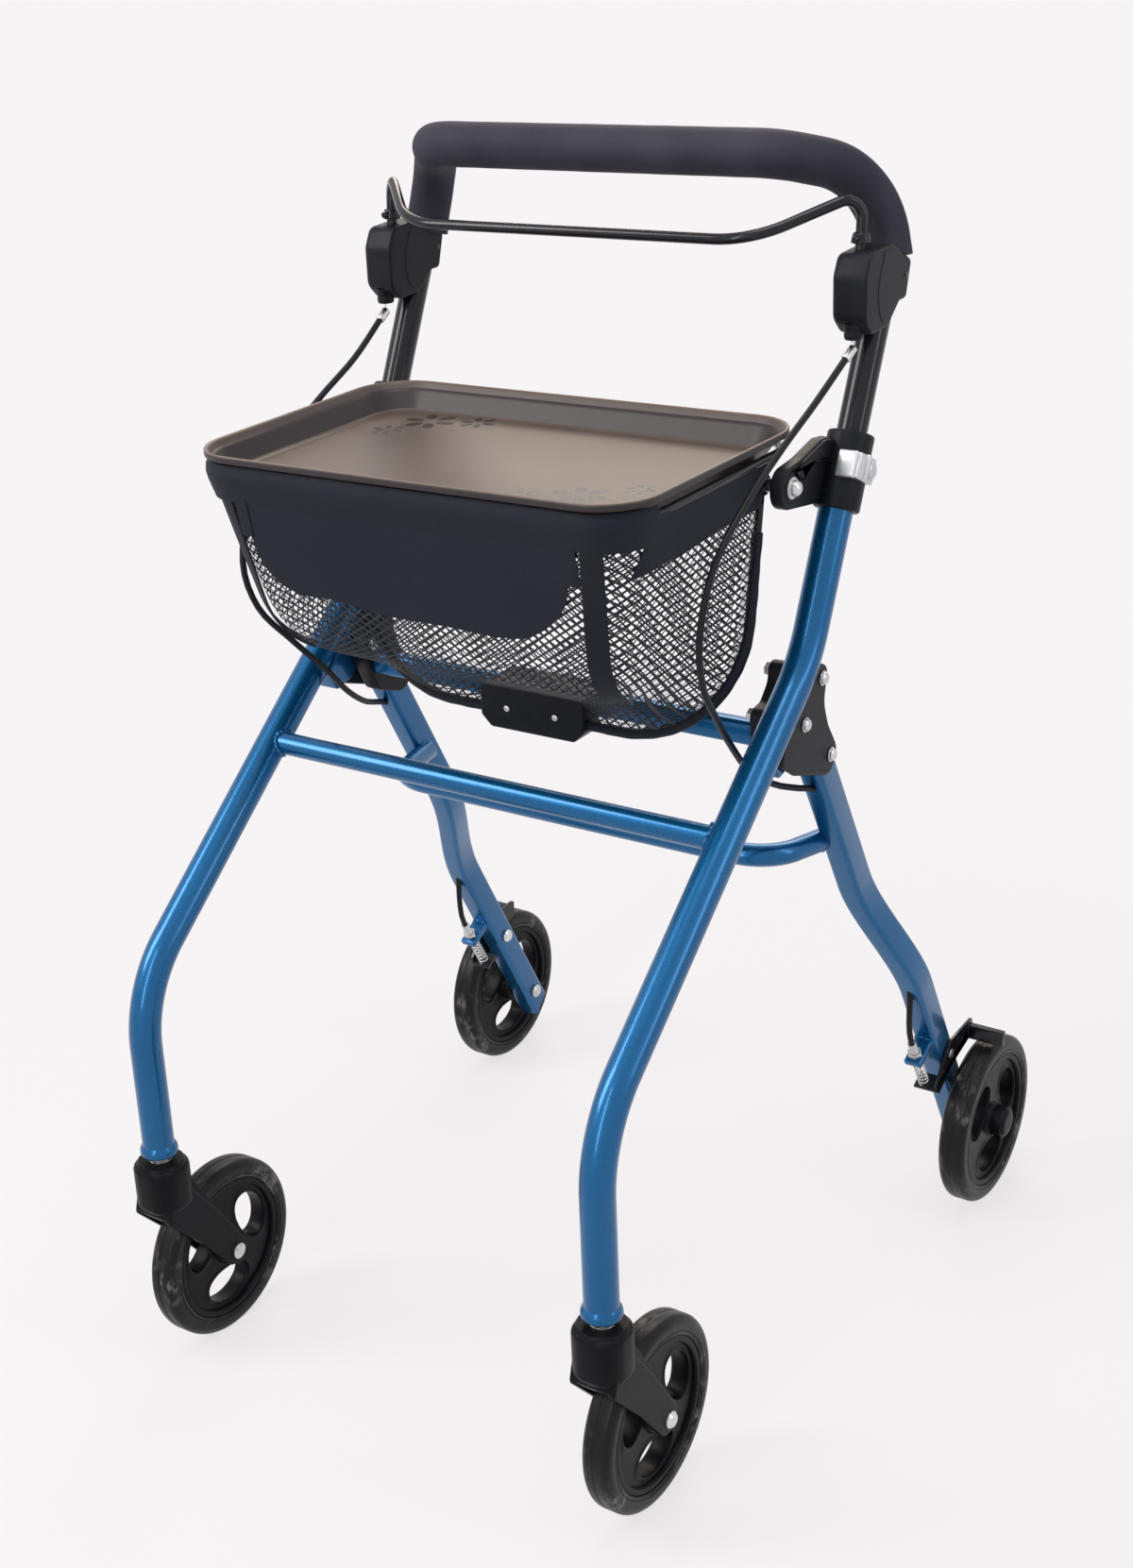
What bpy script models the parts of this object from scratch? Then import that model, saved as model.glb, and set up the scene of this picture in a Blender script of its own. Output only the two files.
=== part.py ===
"""An indoor rollator: a folding walking frame on four wheels, with a U handle, a brake bar, a tray and a basket.

Everything is in metres. X runs across, Z runs up from the floor, and y is measured back from the line of the
caster stems; the whole model is then moved forward so that its box is centred on the origin. The user walks
behind it, at +Y, so the left-hand pieces are at +X. Places written as pairs are (y, z) in the side plane.
"""

import math

import bmesh
import bpy
import numpy as np
from mathutils import Matrix, Quaternion, Vector

# Fits shared by all pieces
GAP = 0.0003
RUNNING_GAP = 0.0001
BOLT_GAP = 0.0003
FINE = 4
MEDIUM = 3
COARSE = 2
ARC_STEP = math.radians(21)
FLAT_ANGLE = math.radians(0.02)
OUTLINE_STEP = math.radians(36)
HOLE_STEPS = 10
BOLT_STEPS = 10
BEARING_STEPS = 16
COLLAR_STEPS = 16
WHEEL_STEPS = 20
SIDES = (("left", 1), ("right", -1))

# Main tubes of the front frame
FRAME_HALF_WIDTH = 0.205
MAIN_TUBE_RADIUS = 0.0127
MAIN_TUBE_BORE = 0.0116
MAIN_TUBE_FOOT = 0.195
LOWER_BEND = (0.0, 0.338)
UPPER_BEND = (0.299, 0.573)
LOWER_BEND_RADIUS = 0.090
UPPER_BEND_RADIUS = 0.085
HANDLE_LEAN = math.radians(25.64)
FOOT_RING_RADIUS = 0.0150
FOOT_RING_HEIGHT = 0.008

# Cross tubes
CROSS_TUBE_RADIUS = 0.009
CROSS_TUBE_BORE = 0.0075
FRONT_CROSS_Y = 0.181
UPPER_CROSS_PLACE = (0.286, 0.5185)
UPPER_CROSS_DEPTH = 0.013
UPPER_CROSS_HEIGHT = 0.019
UPPER_CROSS_ROUNDING = 0.004
UPPER_CROSS_WALL = 0.0015

# Hinge between the front frame and the rear legs
LEG_PIVOT = (0.3205, 0.497)
HINGE_TOP_BOLT = (0.3062, 0.5619)
HINGE_MIDDLE_BOLT = (0.2788, 0.5352)
GUSSET_HALF_THICKNESS = 0.0098
OUTER_SHELL_THICKNESS = 0.005
INNER_SHELL_THICKNESS = 0.015
SHELL_GAP = 0.0004
SHELL_CORNERS = (
    ((0.2975, 0.5760), 0.006),
    ((0.3165, 0.5690), 0.008),
    ((0.3105, 0.5420), 0.020),
    ((0.3170, 0.5230), 0.030),
    ((0.3350, 0.4960), 0.014),
    ((0.3200, 0.4800), 0.012),
    ((0.2650, 0.5000), 0.006),
    ((0.2420, 0.5160), 0.006),
    ((0.2560, 0.5400), 0.008),
    ((0.2750, 0.5520), 0.010),
)
GUSSET_CORNERS = (
    ((0.2400, 0.5200), 0.002),
    ((0.2500, 0.5020), 0.004),
    ((0.2700, 0.5070), 0.010),
    ((0.2980, 0.5310), 0.010),
    ((0.3165, 0.5540), 0.008),
    ((0.3175, 0.5690), 0.006),
    ((0.3020, 0.5780), 0.002),
)
HINGE_BOLT_RADIUS = 0.003
BOLT_HOLE_LENGTH = 0.050
HINGE_HEAD_RADIUS = 0.0055
HINGE_HEAD_HEIGHT = 0.0036
HINGE_NUT_RADIUS = 0.0052
HINGE_NUT_HEIGHT = 0.0060

# Rear legs, measured along the leg from its pivot and forward from its middle line
LEG_LEAN = math.radians(28.57)
LEG_TOP_INSET = 0.004
LEG_FOOT_SPREAD = 0.023
LEG_CENTRE_X = FRAME_HALF_WIDTH - LEG_TOP_INSET
LEG_FOOT_X = FRAME_HALF_WIDTH + LEG_FOOT_SPREAD
LEG_WIDTH = 0.020
LEG_DEPTH = 0.025
LEG_ROUNDING = 0.004
LEG_WALL = 0.0018
LEG_CAVITY_START = 0.014
JOGGLE_START = 0.156
JOGGLE_END = 0.293
LEG_END_PAST_AXLE = 0.022
LEG_END_SLANT = 0.30
WHEEL_RADIUS = 0.075
LUG_PLACE = 0.355
LUG_THICKNESS = 0.006
LUG_WIDTH = 0.015
LUG_REACH = 0.0385
CABLE_OFFSET = 0.0304

# Rear U tube
REAR_CROSS_END_INSET = 0.004
REAR_CROSS_CORNER_INSET = 0.025
REAR_CROSS_END = (LEG_CENTRE_X - REAR_CROSS_END_INSET, 0.368, 0.406)
REAR_CROSS_CORNER = (LEG_CENTRE_X - REAR_CROSS_CORNER_INSET, 0.300, 0.410)
REAR_CROSS_BEND_RADIUS = 0.038

# Wheels
TYRE_WIDTH = 0.024
TYRE_INNER_RADIUS = 0.060
TREAD_ROUNDING = 0.007
CORE_WIDTH = 0.016
CORE_RIM_WIDTH = 0.021
RIM_THICKNESS = 0.006
SPOKE_HOLES = 3
SPOKE_HOLE_CENTRE = 0.0345
SPOKE_HOLE_ACROSS = 0.0150
SPOKE_HOLE_ALONG = 0.0240
SPOKE_HOLE_STEPS = 12
SPOKE_HOLE_TURN = math.radians(25)
AXLE_RADIUS = 0.004
HUB_RADIUS = 0.0135
REAR_WHEEL_OFFSET = 0.0275
REAR_WHEEL_X = LEG_FOOT_X + REAR_WHEEL_OFFSET
HUB_CAP_BEVEL = 0.0025
HUB_CAP_REACH = 0.0230
REAR_AXLE_REACH = 0.0135
HUB_CAP_END_X = REAR_WHEEL_X + HUB_CAP_REACH
REAR_AXLE_END_X = REAR_WHEEL_X + REAR_AXLE_REACH
REAR_AXLE_HEAD_RADIUS = 0.0065
REAR_AXLE_HEAD_HEIGHT = 0.0042

# Casters
CASTER_TRAIL = 0.056
FORK_TOP = 0.189
FORK_CUP_RADIUS = 0.020
FORK_CUP_BOTTOM = 0.147
FORK_ARM_INSIDE = 0.0131
FORK_ARM_THICKNESS = 0.0047
FORK_ARM_TOP = (0.003, 0.160)
FORK_ARM_TOP_RADIUS = 0.0135
FORK_EYE_RADIUS = 0.0105
STEM_RADIUS = 0.005
STEM_END = 0.1565
STEM_NUT_RADIUS = 0.00725
STEM_PLUG_TOP = 0.232
CASTER_HEAD_RADIUS = 0.0068
CASTER_HEAD_HEIGHT = 0.0045

# Brakes on the rear wheels
BRAKE_PIVOT_ALONG = 0.3877
BRAKE_PIVOT_RADIUS = 0.003
BRAKE_PIVOT_HEAD_RADIUS = 0.0062
BRAKE_PIVOT_HEAD_HEIGHT = 0.0042
BRAKE_PLATE_THICKNESS = 0.0024
BRAKE_PLATE_CORNERS = (
    ((0.4765, 0.1380), 0.004),
    ((0.4830, 0.1265), 0.004),
    ((0.5120, 0.1445), 0.012),
    ((0.5515, 0.1540), 0.003),
    ((0.5515, 0.1700), 0.003),
    ((0.5050, 0.1690), 0.010),
)
BRAKE_TAB_ALONG = 0.3948
BRAKE_TAB_THICKNESS = 0.0024
BRAKE_TAB_INSET = 0.0075
BRAKE_TAB_INNER_X = LEG_FOOT_X - BRAKE_TAB_INSET
BRAKE_TAB_FROM = 0.0205
BRAKE_TAB_TO = 0.0364
BRAKE_SHOE_Y = 0.545
BRAKE_SHOE_DEPTH = 0.0060
BRAKE_SHOE_HEIGHT = 0.013
BRAKE_SHOE_CLEARANCE = 0.0038
BRAKE_SHOE_REACH = 0.0170
BRAKE_SHOE_OUTER_X = REAR_WHEEL_X + BRAKE_SHOE_REACH
ADJUSTER_TOP = 0.334
ADJUSTER_END = 0.364
ADJUSTER_RADIUS = 0.0036
ADJUSTER_BORE = 0.0013
ADJUSTER_NUT_RADIUS = 0.0062
ADJUSTER_NUT_HEIGHT = 0.0050
ADJUSTER_CUP_DEPTH = 0.008
SPRING_COIL_RADIUS = 0.0042
SPRING_WIRE_RADIUS = 0.0006
SPRING_TURNS = 4
SPRING_STEPS = 8

# Brake cables
CABLE_RADIUS = 0.0025
INNER_WIRE_RADIUS = 0.0008
CABLE_FERRULE_RADIUS = 0.0036
CABLE_FERRULE_LENGTH = 0.012
CABLE_POINT_SPACING = 0.0150
WIRE_NIPPLE_RADIUS = 0.0024
WIRE_NIPPLE_LENGTH = 0.004
CABLE_FREE_ROUTE = (
    (0.2030, 0.3200, 0.7600),
    (0.2020, 0.2700, 0.7380),
    (0.2010, 0.2180, 0.7110),
    (0.2000, 0.1760, 0.6780),
    (0.1990, 0.1590, 0.6350),
    (0.1960, 0.1680, 0.5980),
    (0.1900, 0.1980, 0.5620),
    (0.1850, 0.2280, 0.5300),
    (0.1850, 0.2550, 0.5010),
    (0.1910, 0.2840, 0.4810),
    (0.1980, 0.3060, 0.4715),
)
CABLE_LEG_ROUTE = ((0.0115, 0.031), (0.0040, 0.042), (0.0, 0.060))
CABLE_LEG_STEPS = 5
CABLE_LEG_LAST = 0.252
CABLE_EXIT_ROUTE = ((0.0045, 0.272), (0.0135, 0.291), (0.0235, 0.309), (0.0290, 0.323))
CABLE_HOLE_RADIUS = 0.0040

# Height collars on the main tubes, measured up the handle's line from the upper bend
COLLAR_BOTTOM = 0.1131
COLLAR_TOP = 0.1694
COLLAR_RADIUS = 0.0170
COLLAR_ROUNDING = 0.002
MAIN_TUBE_END = 0.157
COLLAR_ARM_INSET = 0.0164
COLLAR_ARM_INNER_X = FRAME_HALF_WIDTH - COLLAR_ARM_INSET
COLLAR_ARM_THICKNESS = 0.010
BASKET_PIVOT = (0.292, 0.705)
ARM_EYE_RADIUS = 0.0165
ARM_ROOT_RADIUS = 0.0215
ARM_ROOT_ALONG = 0.139
BLOCK_BOTTOM = 0.1325
BLOCK_HEIGHT = 0.019
BLOCK_OUT = 0.0190
BLOCK_FRONT = 0.0185
BLOCK_INNER = 0.0030
BLOCK_BACK = 0.0110
BUTTON_BACK = 0.0040
BUTTON_RADIUS = 0.00625
BUTTON_HEIGHT = 0.0032
BUTTON_TRAVEL = 0.003
BUTTON_STEM_RADIUS = 0.0035
BUTTON_STEM_END = 0.0160

# Basket pivot bolts
PIVOT_BOLT_RADIUS = 0.003
PIVOT_WASHER_RADIUS = 0.008
PIVOT_WASHER_HEIGHT = 0.0014
PIVOT_HEAD_RADIUS = 0.0060
PIVOT_HEAD_HEIGHT = 0.0056
PIVOT_NUT_RADIUS = 0.0048
PIVOT_NUT_HEIGHT = 0.0046
PIVOT_SPACER_RADIUS = 0.005

# Handle tube, foam and brake bar
HANDLE_TUBE_RADIUS = 0.0111
HANDLE_TUBE_BORE = 0.0096
HANDLE_INSERTED = 0.090
HANDLE_ELBOW_Z = 0.893
HANDLE_BAR_CORNER = (0.149, 0.368, 0.920)
ELBOW_RADIUS = 0.061
BAR_CORNER_RADIUS = 0.033
FOAM_RADIUS = 0.0170
FOAM_BORE = 0.0117
FOAM_FLARE = 1.07
FOAM_END_Z = 0.8425
LEVER_RADIUS = 0.004
LEVER_PIVOT = (0.380, 0.824)
LEVER_ELBOW = (FRAME_HALF_WIDTH, 0.386, 0.893)
LEVER_ELBOW_RADIUS = 0.012
LEVER_CORNER = (0.148, 0.325, 0.867)
LEVER_CORNER_RADIUS = 0.030
LEVER_PIN_RADIUS = 0.0025
LEVER_EYE_RADIUS = 0.0062

# Brake housings on the handle tube
HOUSING_WIDTH = 0.028
HOUSING_OUTSET = 0.0015
HOUSING_X = FRAME_HALF_WIDTH + HOUSING_OUTSET
HOUSING_CORNERS = (
    ((0.3600, 0.7960), 0.006),
    ((0.3460, 0.8080), 0.010),
    ((0.3450, 0.8480), 0.010),
    ((0.3560, 0.8570), 0.005),
    ((0.4030, 0.8570), 0.004),
    ((0.4110, 0.8300), 0.004),
    ((0.4020, 0.8080), 0.006),
    ((0.3820, 0.7960), 0.006),
)
HOUSING_CLAMP_RADIUS = 0.0148
HOUSING_CLAMP_BOTTOM = 0.2600
HOUSING_CLAMP_TOP = 0.2858
HOUSING_SLOT_WIDTH = 0.0105
HOUSING_SLOT_CORNERS = ((0.3725, 0.8160), (0.3880, 0.8160), (0.4050, 0.8640), (0.3760, 0.8640))
HOUSING_PIN_REACH = 0.0085
NUB_PLACE = (0.370, 0.785)
NUB_RADIUS = 0.0066
NUB_LENGTH = 0.018
NUB_BORE_LENGTH = 0.006
NUB_BORE_RADIUS = 0.0042
NUB_TO_FERRULE = (0.0, -0.0010, -0.0065)

# Tray
TRAY_INSET = 0.0175
TRAY_HALF_WIDTH = FRAME_HALF_WIDTH - TRAY_INSET
TRAY_FRONT = 0.090
TRAY_BACK = 0.342
TRAY_CORNER_RADIUS = 0.042
TRAY_WALL = 0.0024
TRAY_FLOOR_TOP = 0.7205
TRAY_RINGS = ((0.0190, 0.7205), (0.0160, 0.7222), (0.0052, 0.7368), (0.0030, 0.7400), (0.0, 0.7412))
TRAY_LIP_DROP = 0.0030

# Basket wire, bag and hook bracket
WIRE_RADIUS = 0.003
WIRE_LOOP_INSET = 0.0065
WIRE_LOOP_Z = 0.7252
WIRE_TO_ARM = 0.0131
WIRE_HALF_WIDTH = COLLAR_ARM_INNER_X - WIRE_TO_ARM
WIRE_TOP_BEND_ABOVE_PIVOT = 0.0085
WIRE_TOP_BEND_RADIUS = 0.010
WIRE_BOTTOM = (0.256, 0.512)
WIRE_BEND_RADIUS = 0.100
WIRE_EYE_RADIUS = 0.0078
WIRE_EYE_THICKNESS = 0.006
BAG_WALL = 0.0018
BAG_INSET = 0.0055
BAG_TOP_INSET = 0.0070
BAG_FRONT_TOP = (TRAY_HALF_WIDTH - BAG_TOP_INSET, 0.0968, 0.7216)
BAG_FRONT_CORNER = (0.1465, 0.118, 0.596)
BAG_FRONT_BOTTOM = (0.072, 0.2440, 0.5330)
BAG_FRONT_BEND = 0.080
BAG_BACK_TOP = (0.2855, 0.7165)
BAG_BOTTOM_HALF_WIDTH = 0.076
BAG_BOTTOM_GAP = 0.0015
BAG_CORNER_RADIUS = 0.010
BAG_STATIONS = 12
BRACKET_HALF_WIDTH = 0.070
BRACKET_FRONT = 0.247
BRACKET_BOTTOM = 0.494
BRACKET_TOP = 0.5345
BRACKET_BACK = 0.2955
BRACKET_LOWER_BACK = 0.2880
BRACKET_FRONT_TOP = 0.5195
BRACKET_SHELF_Y = 0.2655
BRACKET_CHAMFER = 0.016
HOOK_LOWER_GAP = 0.0020
HOOK_GAP = 0.0008

# Finishes: colour, roughness, metallic
FINISHES = {
    "blue_paint": ((0.007, 0.115, 0.352), 0.25, 0.6),
    "black_plastic": ((0.018, 0.018, 0.022), 0.5, 0.0),
    "black_paint": ((0.012, 0.012, 0.015), 0.3, 0.2),
    "foam": ((0.035, 0.033, 0.045), 0.9, 0.0),
    "steel": ((0.62, 0.63, 0.64), 0.3, 1.0),
    "zinc_block": ((0.58, 0.60, 0.62), 0.4, 0.8),
    "tyre": ((0.020, 0.020, 0.021), 0.75, 0.0),
    "tray_plastic": ((0.135, 0.098, 0.092), 0.4, 0.0),
    "bag_fabric": ((0.015, 0.015, 0.018), 0.8, 0.0),
    "cable": ((0.010, 0.010, 0.012), 0.45, 0.0),
}

# Places that follow from the sizes above
HANDLE_UP = Vector((0, math.sin(HANDLE_LEAN), math.cos(HANDLE_LEAN)))
HANDLE_BACKWARD = Vector((0, math.cos(HANDLE_LEAN), -math.sin(HANDLE_LEAN)))
LEG_DOWN = Vector((0, math.sin(LEG_LEAN), -math.cos(LEG_LEAN)))
LEG_FORWARD = Vector((0, -math.cos(LEG_LEAN), -math.sin(LEG_LEAN)))
LEG_TO_AXLE = (LEG_PIVOT[1] - WHEEL_RADIUS) / math.cos(LEG_LEAN)
LEG_END = LEG_TO_AXLE + LEG_END_PAST_AXLE
REAR_AXLE = (LEG_PIVOT[0] + LEG_TO_AXLE * math.sin(LEG_LEAN), WHEEL_RADIUS)
BRAKE_PIVOT = (
    LEG_PIVOT[0] + BRAKE_PIVOT_ALONG * LEG_DOWN.y,
    LEG_PIVOT[1] + BRAKE_PIVOT_ALONG * LEG_DOWN.z,
)
CASTER_AXLE = (CASTER_TRAIL, WHEEL_RADIUS)
LEG_OUTER_X = LEG_FOOT_X + LEG_WIDTH / 2
BRAKE_PLATE_X = LEG_OUTER_X + 0.0006 + BRAKE_PLATE_THICKNESS / 2
OUTER_SHELL_X = LEG_CENTRE_X + LEG_WIDTH / 2 + SHELL_GAP + OUTER_SHELL_THICKNESS / 2
INNER_SHELL_X = LEG_CENTRE_X - LEG_WIDTH / 2 - SHELL_GAP - INNER_SHELL_THICKNESS / 2
MIDDLE_Y = (REAR_AXLE[0] + WHEEL_RADIUS - FORK_CUP_RADIUS) / 2
COLLAR_ARM_X = COLLAR_ARM_INNER_X + COLLAR_ARM_THICKNESS / 2
COLLAR_ARM_OUTER_X = COLLAR_ARM_INNER_X + COLLAR_ARM_THICKNESS

# Where each moving group turns or slides, as world places before the move to the middle
CARRIERS = {
    "front_frame": (0, 0, 0),
    "rear_frame": (0, *LEG_PIVOT),
    "handle": (0, *UPPER_BEND),
    "brake_lever": (0, *LEVER_PIVOT),
    "basket": (0, *BASKET_PIVOT),
    "tray": (0, *BASKET_PIVOT),
}
for side_name, side_sign in SIDES:
    CARRIERS["caster_" + side_name] = (side_sign * FRAME_HALF_WIDTH, 0, FORK_TOP)
    CARRIERS["caster_wheel_" + side_name] = (side_sign * FRAME_HALF_WIDTH, *CASTER_AXLE)
    CARRIERS["rear_wheel_" + side_name] = (side_sign * REAR_WHEEL_X, *REAR_AXLE)
    CARRIERS["brake_arm_" + side_name] = (side_sign * BRAKE_PLATE_X, *BRAKE_PIVOT)
    CARRIERS["height_button_" + side_name] = (side_sign * FRAME_HALF_WIDTH, *UPPER_BEND)
CARRIED_BY = {"brake_lever": "handle", "tray": "basket"}
for side_name, _ in SIDES:
    CARRIED_BY["caster_wheel_" + side_name] = "caster_" + side_name
    CARRIED_BY["rear_wheel_" + side_name] = "rear_frame"
    CARRIED_BY["brake_arm_" + side_name] = "rear_frame"


def clear_scene():
    for old in list(bpy.data.objects):
        bpy.data.objects.remove(old, do_unlink=True)


def new_collection(name):
    made = bpy.data.collections.new(name)
    bpy.context.scene.collection.children.link(made)
    return made


def make_finish(name):
    """A plain Principled material with the colour, roughness and metallic value of the finish."""
    colour, roughness, metallic = FINISHES[name]
    made = bpy.data.materials.new(name)
    made.use_nodes = True
    shader = made.node_tree.nodes["Principled BSDF"]
    shader.inputs["Base Color"].default_value = (*colour, 1)
    shader.inputs["Roughness"].default_value = roughness
    shader.inputs["Metallic"].default_value = metallic
    made.diffuse_color = (*colour, 1)
    return made


def make_carriers():
    """One empty for each moving group, on its joint's axis, under the group that carries it."""
    empties = {}
    for name, place in CARRIERS.items():
        empty = bpy.data.objects.new(name + "_carrier", None)
        parts.objects.link(empty)
        empty.empty_display_size = 0.02
        empties[name] = empty
        if name == "front_frame":
            empty.location = (0, -MIDDLE_Y, 0)
            continue
        carrier = CARRIED_BY.get(name, "front_frame")
        empty.parent = empties.get(carrier) or empties["front_frame"]
        empty.location = Vector(place) - Vector(CARRIERS[carrier])
    for name, carrier in CARRIED_BY.items():
        empties[name].parent = empties[carrier]
    return empties


def put(piece, body, finish):
    """Hangs a finished piece, with its cutters, under the empty of its moving group."""
    piece.data.materials.clear()
    piece.data.materials.append(finishes[finish])
    waiting = [piece]
    while waiting:
        each = waiting.pop()
        if each.parent:
            continue
        each.parent = carriers[body]
        each.location -= Vector(CARRIERS[body])
        waiting += [step.object for step in each.modifiers if step.type == "BOOLEAN"]
    return piece


def closed_mesh(name, source):
    """The evaluated mesh of a curve or a modified mesh as a new object, with its seams merged and facing out."""
    bpy.context.view_layer.update()
    graph = bpy.context.evaluated_depsgraph_get()
    mesh = bpy.data.meshes.new_from_object(source.evaluated_get(graph))
    mesh.transform(source.matrix_world)
    bpy.data.objects.remove(source, do_unlink=True)
    work = bmesh.new()
    work.from_mesh(mesh)
    bmesh.ops.remove_doubles(work, verts=work.verts, dist=0.000002)
    bmesh.ops.dissolve_degenerate(work, edges=work.edges, dist=0.000001)
    bmesh.ops.dissolve_limit(work, angle_limit=FLAT_ANGLE, verts=work.verts, edges=work.edges)
    bmesh.ops.recalc_face_normals(work, faces=work.faces)
    work.to_mesh(mesh)
    work.free()
    mesh.shade_smooth()
    mesh.set_sharp_from_angle(angle=math.radians(35))
    made = bpy.data.objects.new(name, mesh)
    parts.objects.link(made)
    return made


def combine(piece, other, operation):
    """A live Boolean: the helper goes to the cutters and is left out of renders."""
    step = piece.modifiers.new(other.name, "BOOLEAN")
    step.operation = operation
    step.solver = "EXACT"
    step.object = other
    parts.objects.unlink(other)
    helpers.objects.link(other)
    other.hide_render = True
    other.display_type = "WIRE"


def cut(piece, *cutters):
    for cutter in cutters:
        combine(piece, cutter, "DIFFERENCE")


def join(piece, *others):
    for other in others:
        combine(piece, other, "UNION")


def arc_between(before, corner, after, radius, step):
    """The points of the arc that rounds a corner between two straight runs."""
    back = (before - corner).normalized()
    ahead = (after - corner).normalized()
    half = back.angle(ahead) / 2
    centre = corner + (back + ahead).normalized() * radius / math.sin(half)
    spoke = corner + back * radius / math.tan(half) - centre
    turn = math.pi - 2 * half
    steps = math.ceil(turn / step)
    axis = ahead.cross(back)
    return [centre + Quaternion(axis, turn * k / steps) @ spoke for k in range(steps + 1)]


def rounded_path(corners, radii):
    """An open path of straight runs, each inner corner rounded with its own radius."""
    corners = [Vector(corner) for corner in corners]
    path = [corners[0]]
    for before, corner, after, radius in zip(corners, corners[1:], corners[2:], radii):
        path += arc_between(before, corner, after, radius, ARC_STEP)
    return path + [corners[-1]]


def rounded_outline(corners):
    """A closed flat outline from pairs of ((y, z), radius)."""
    count = len(corners)
    places = [Vector((*place, 0)) for place, _ in corners]
    outline = []
    for k, (_, radius) in enumerate(corners):
        around = (places[k - 1], places[k], places[(k + 1) % count])
        outline += arc_between(*around, radius, OUTLINE_STEP)
    return [(point.x, point.y) for point in outline]


def circle(centre, radius, steps):
    angles = np.arange(steps) * math.tau / steps
    return [(centre[0] + radius * math.cos(a), centre[1] + radius * math.sin(a)) for a in angles]


def link_outline(first, first_radius, second, second_radius, steps=9):
    """The outline of a strap that wraps two circles of different size."""
    first, second = Vector(first), Vector(second)
    along = second - first
    heading = math.atan2(along.y, along.x)
    spread = math.acos((first_radius - second_radius) / along.length)
    outline = []
    for centre, radius, start, sweep in (
        (second, second_radius, heading - spread, 2 * spread),
        (first, first_radius, heading + spread, math.tau - 2 * spread),
    ):
        for k in range(steps):
            angle = start + sweep * k / (steps - 1)
            outline.append((centre.x + radius * math.cos(angle), centre.y + radius * math.sin(angle)))
    return outline


def tube(name, path, radius, roundness=FINE, closed=False, flare=None):
    """A round bar along a path; flare gives the bar's relative thickness at each point."""
    curve = bpy.data.curves.new(name, "CURVE")
    curve.dimensions = "3D"
    curve.bevel_depth = radius
    curve.bevel_resolution = roundness
    curve.use_fill_caps = not closed
    spline = curve.splines.new("POLY")
    spline.points.add(len(path) - 1)
    for k, place in enumerate(path):
        spline.points[k].co = (*place, 1)
        spline.points[k].radius = flare[k] if flare else 1
    spline.use_cyclic_u = closed
    source = bpy.data.objects.new(name, curve)
    parts.objects.link(source)
    return closed_mesh(name, source)


def lengthened(path, extra):
    """The path with both ends drawn out, for a cutter that has to leave the piece."""
    first = path[0] + (path[0] - path[1]).normalized() * extra
    last = path[-1] + (path[-1] - path[-2]).normalized() * extra
    return [first] + list(path[1:-1]) + [last]


def plate(name, outlines, thickness, middle_x):
    """A plate in the side plane: the first outline is its edge and the others are holes in it."""
    curve = bpy.data.curves.new(name, "CURVE")
    curve.dimensions = "2D"
    curve.fill_mode = "BOTH"
    curve.extrude = thickness / 2
    for outline in outlines:
        spline = curve.splines.new("POLY")
        spline.points.add(len(outline) - 1)
        for k, place in enumerate(outline):
            spline.points[k].co = (*place, 0, 1)
        spline.use_cyclic_u = True
    source = bpy.data.objects.new(name, curve)
    parts.objects.link(source)
    upright = Matrix(((0, 0, 1, middle_x), (1, 0, 0, 0), (0, 1, 0, 0), (0, 0, 0, 1)))
    source.matrix_world = upright
    return closed_mesh(name, source)


def turned(name, profile, base, direction, steps=BOLT_STEPS, bored=False):
    """A turned shape: profile is (radius, height) pairs, with heights measured from base along direction."""
    mesh = bpy.data.meshes.new(name)
    edges = [(k, k + 1) for k in range(len(profile) - 1)]
    if bored:
        edges.append((len(profile) - 1, 0))
    mesh.from_pydata([(radius, 0, height) for radius, height in profile], edges, [])
    source = bpy.data.objects.new(name, mesh)
    parts.objects.link(source)
    screw = source.modifiers.new("turn", "SCREW")
    screw.steps = screw.render_steps = steps
    screw.merge_threshold = 0.000002
    screw.use_merge_vertices = True
    source.rotation_euler = Vector((0, 0, 1)).rotation_difference(Vector(direction)).to_euler()
    source.location = base
    return closed_mesh(name, source)


def rod(name, base, direction, length, radius, steps=BOLT_STEPS):
    """A plain round bar from base along direction."""
    return turned(name, ((0, length), (radius, length), (radius, 0), (0, 0)), base, direction, steps)


def box(name, low, high):
    mesh = bpy.data.meshes.new(name)
    work = bmesh.new()
    bmesh.ops.create_cube(work, size=1)
    size = [abs(b - a) for a, b in zip(low, high)]
    middle = [(a + b) / 2 for a, b in zip(low, high)]
    bmesh.ops.scale(work, vec=size, verts=work.verts)
    bmesh.ops.translate(work, vec=middle, verts=work.verts)
    work.to_mesh(mesh)
    work.free()
    made = bpy.data.objects.new(name, mesh)
    parts.objects.link(made)
    return made


def round_rectangle(half_a, half_b, radius, per_corner=3):
    """The points of a rectangle with round corners, as an array of pairs, anticlockwise."""
    angles = np.linspace(0, math.pi / 2, per_corner)
    points = []
    for turn, (sign_a, sign_b) in enumerate(((1, 1), (-1, 1), (-1, -1), (1, -1))):
        a = sign_a * (half_a - radius) + radius * np.cos(angles + turn * math.pi / 2)
        b = sign_b * (half_b - radius) + radius * np.sin(angles + turn * math.pi / 2)
        points.append(np.column_stack((a, b)))
    return np.concatenate(points)


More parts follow.
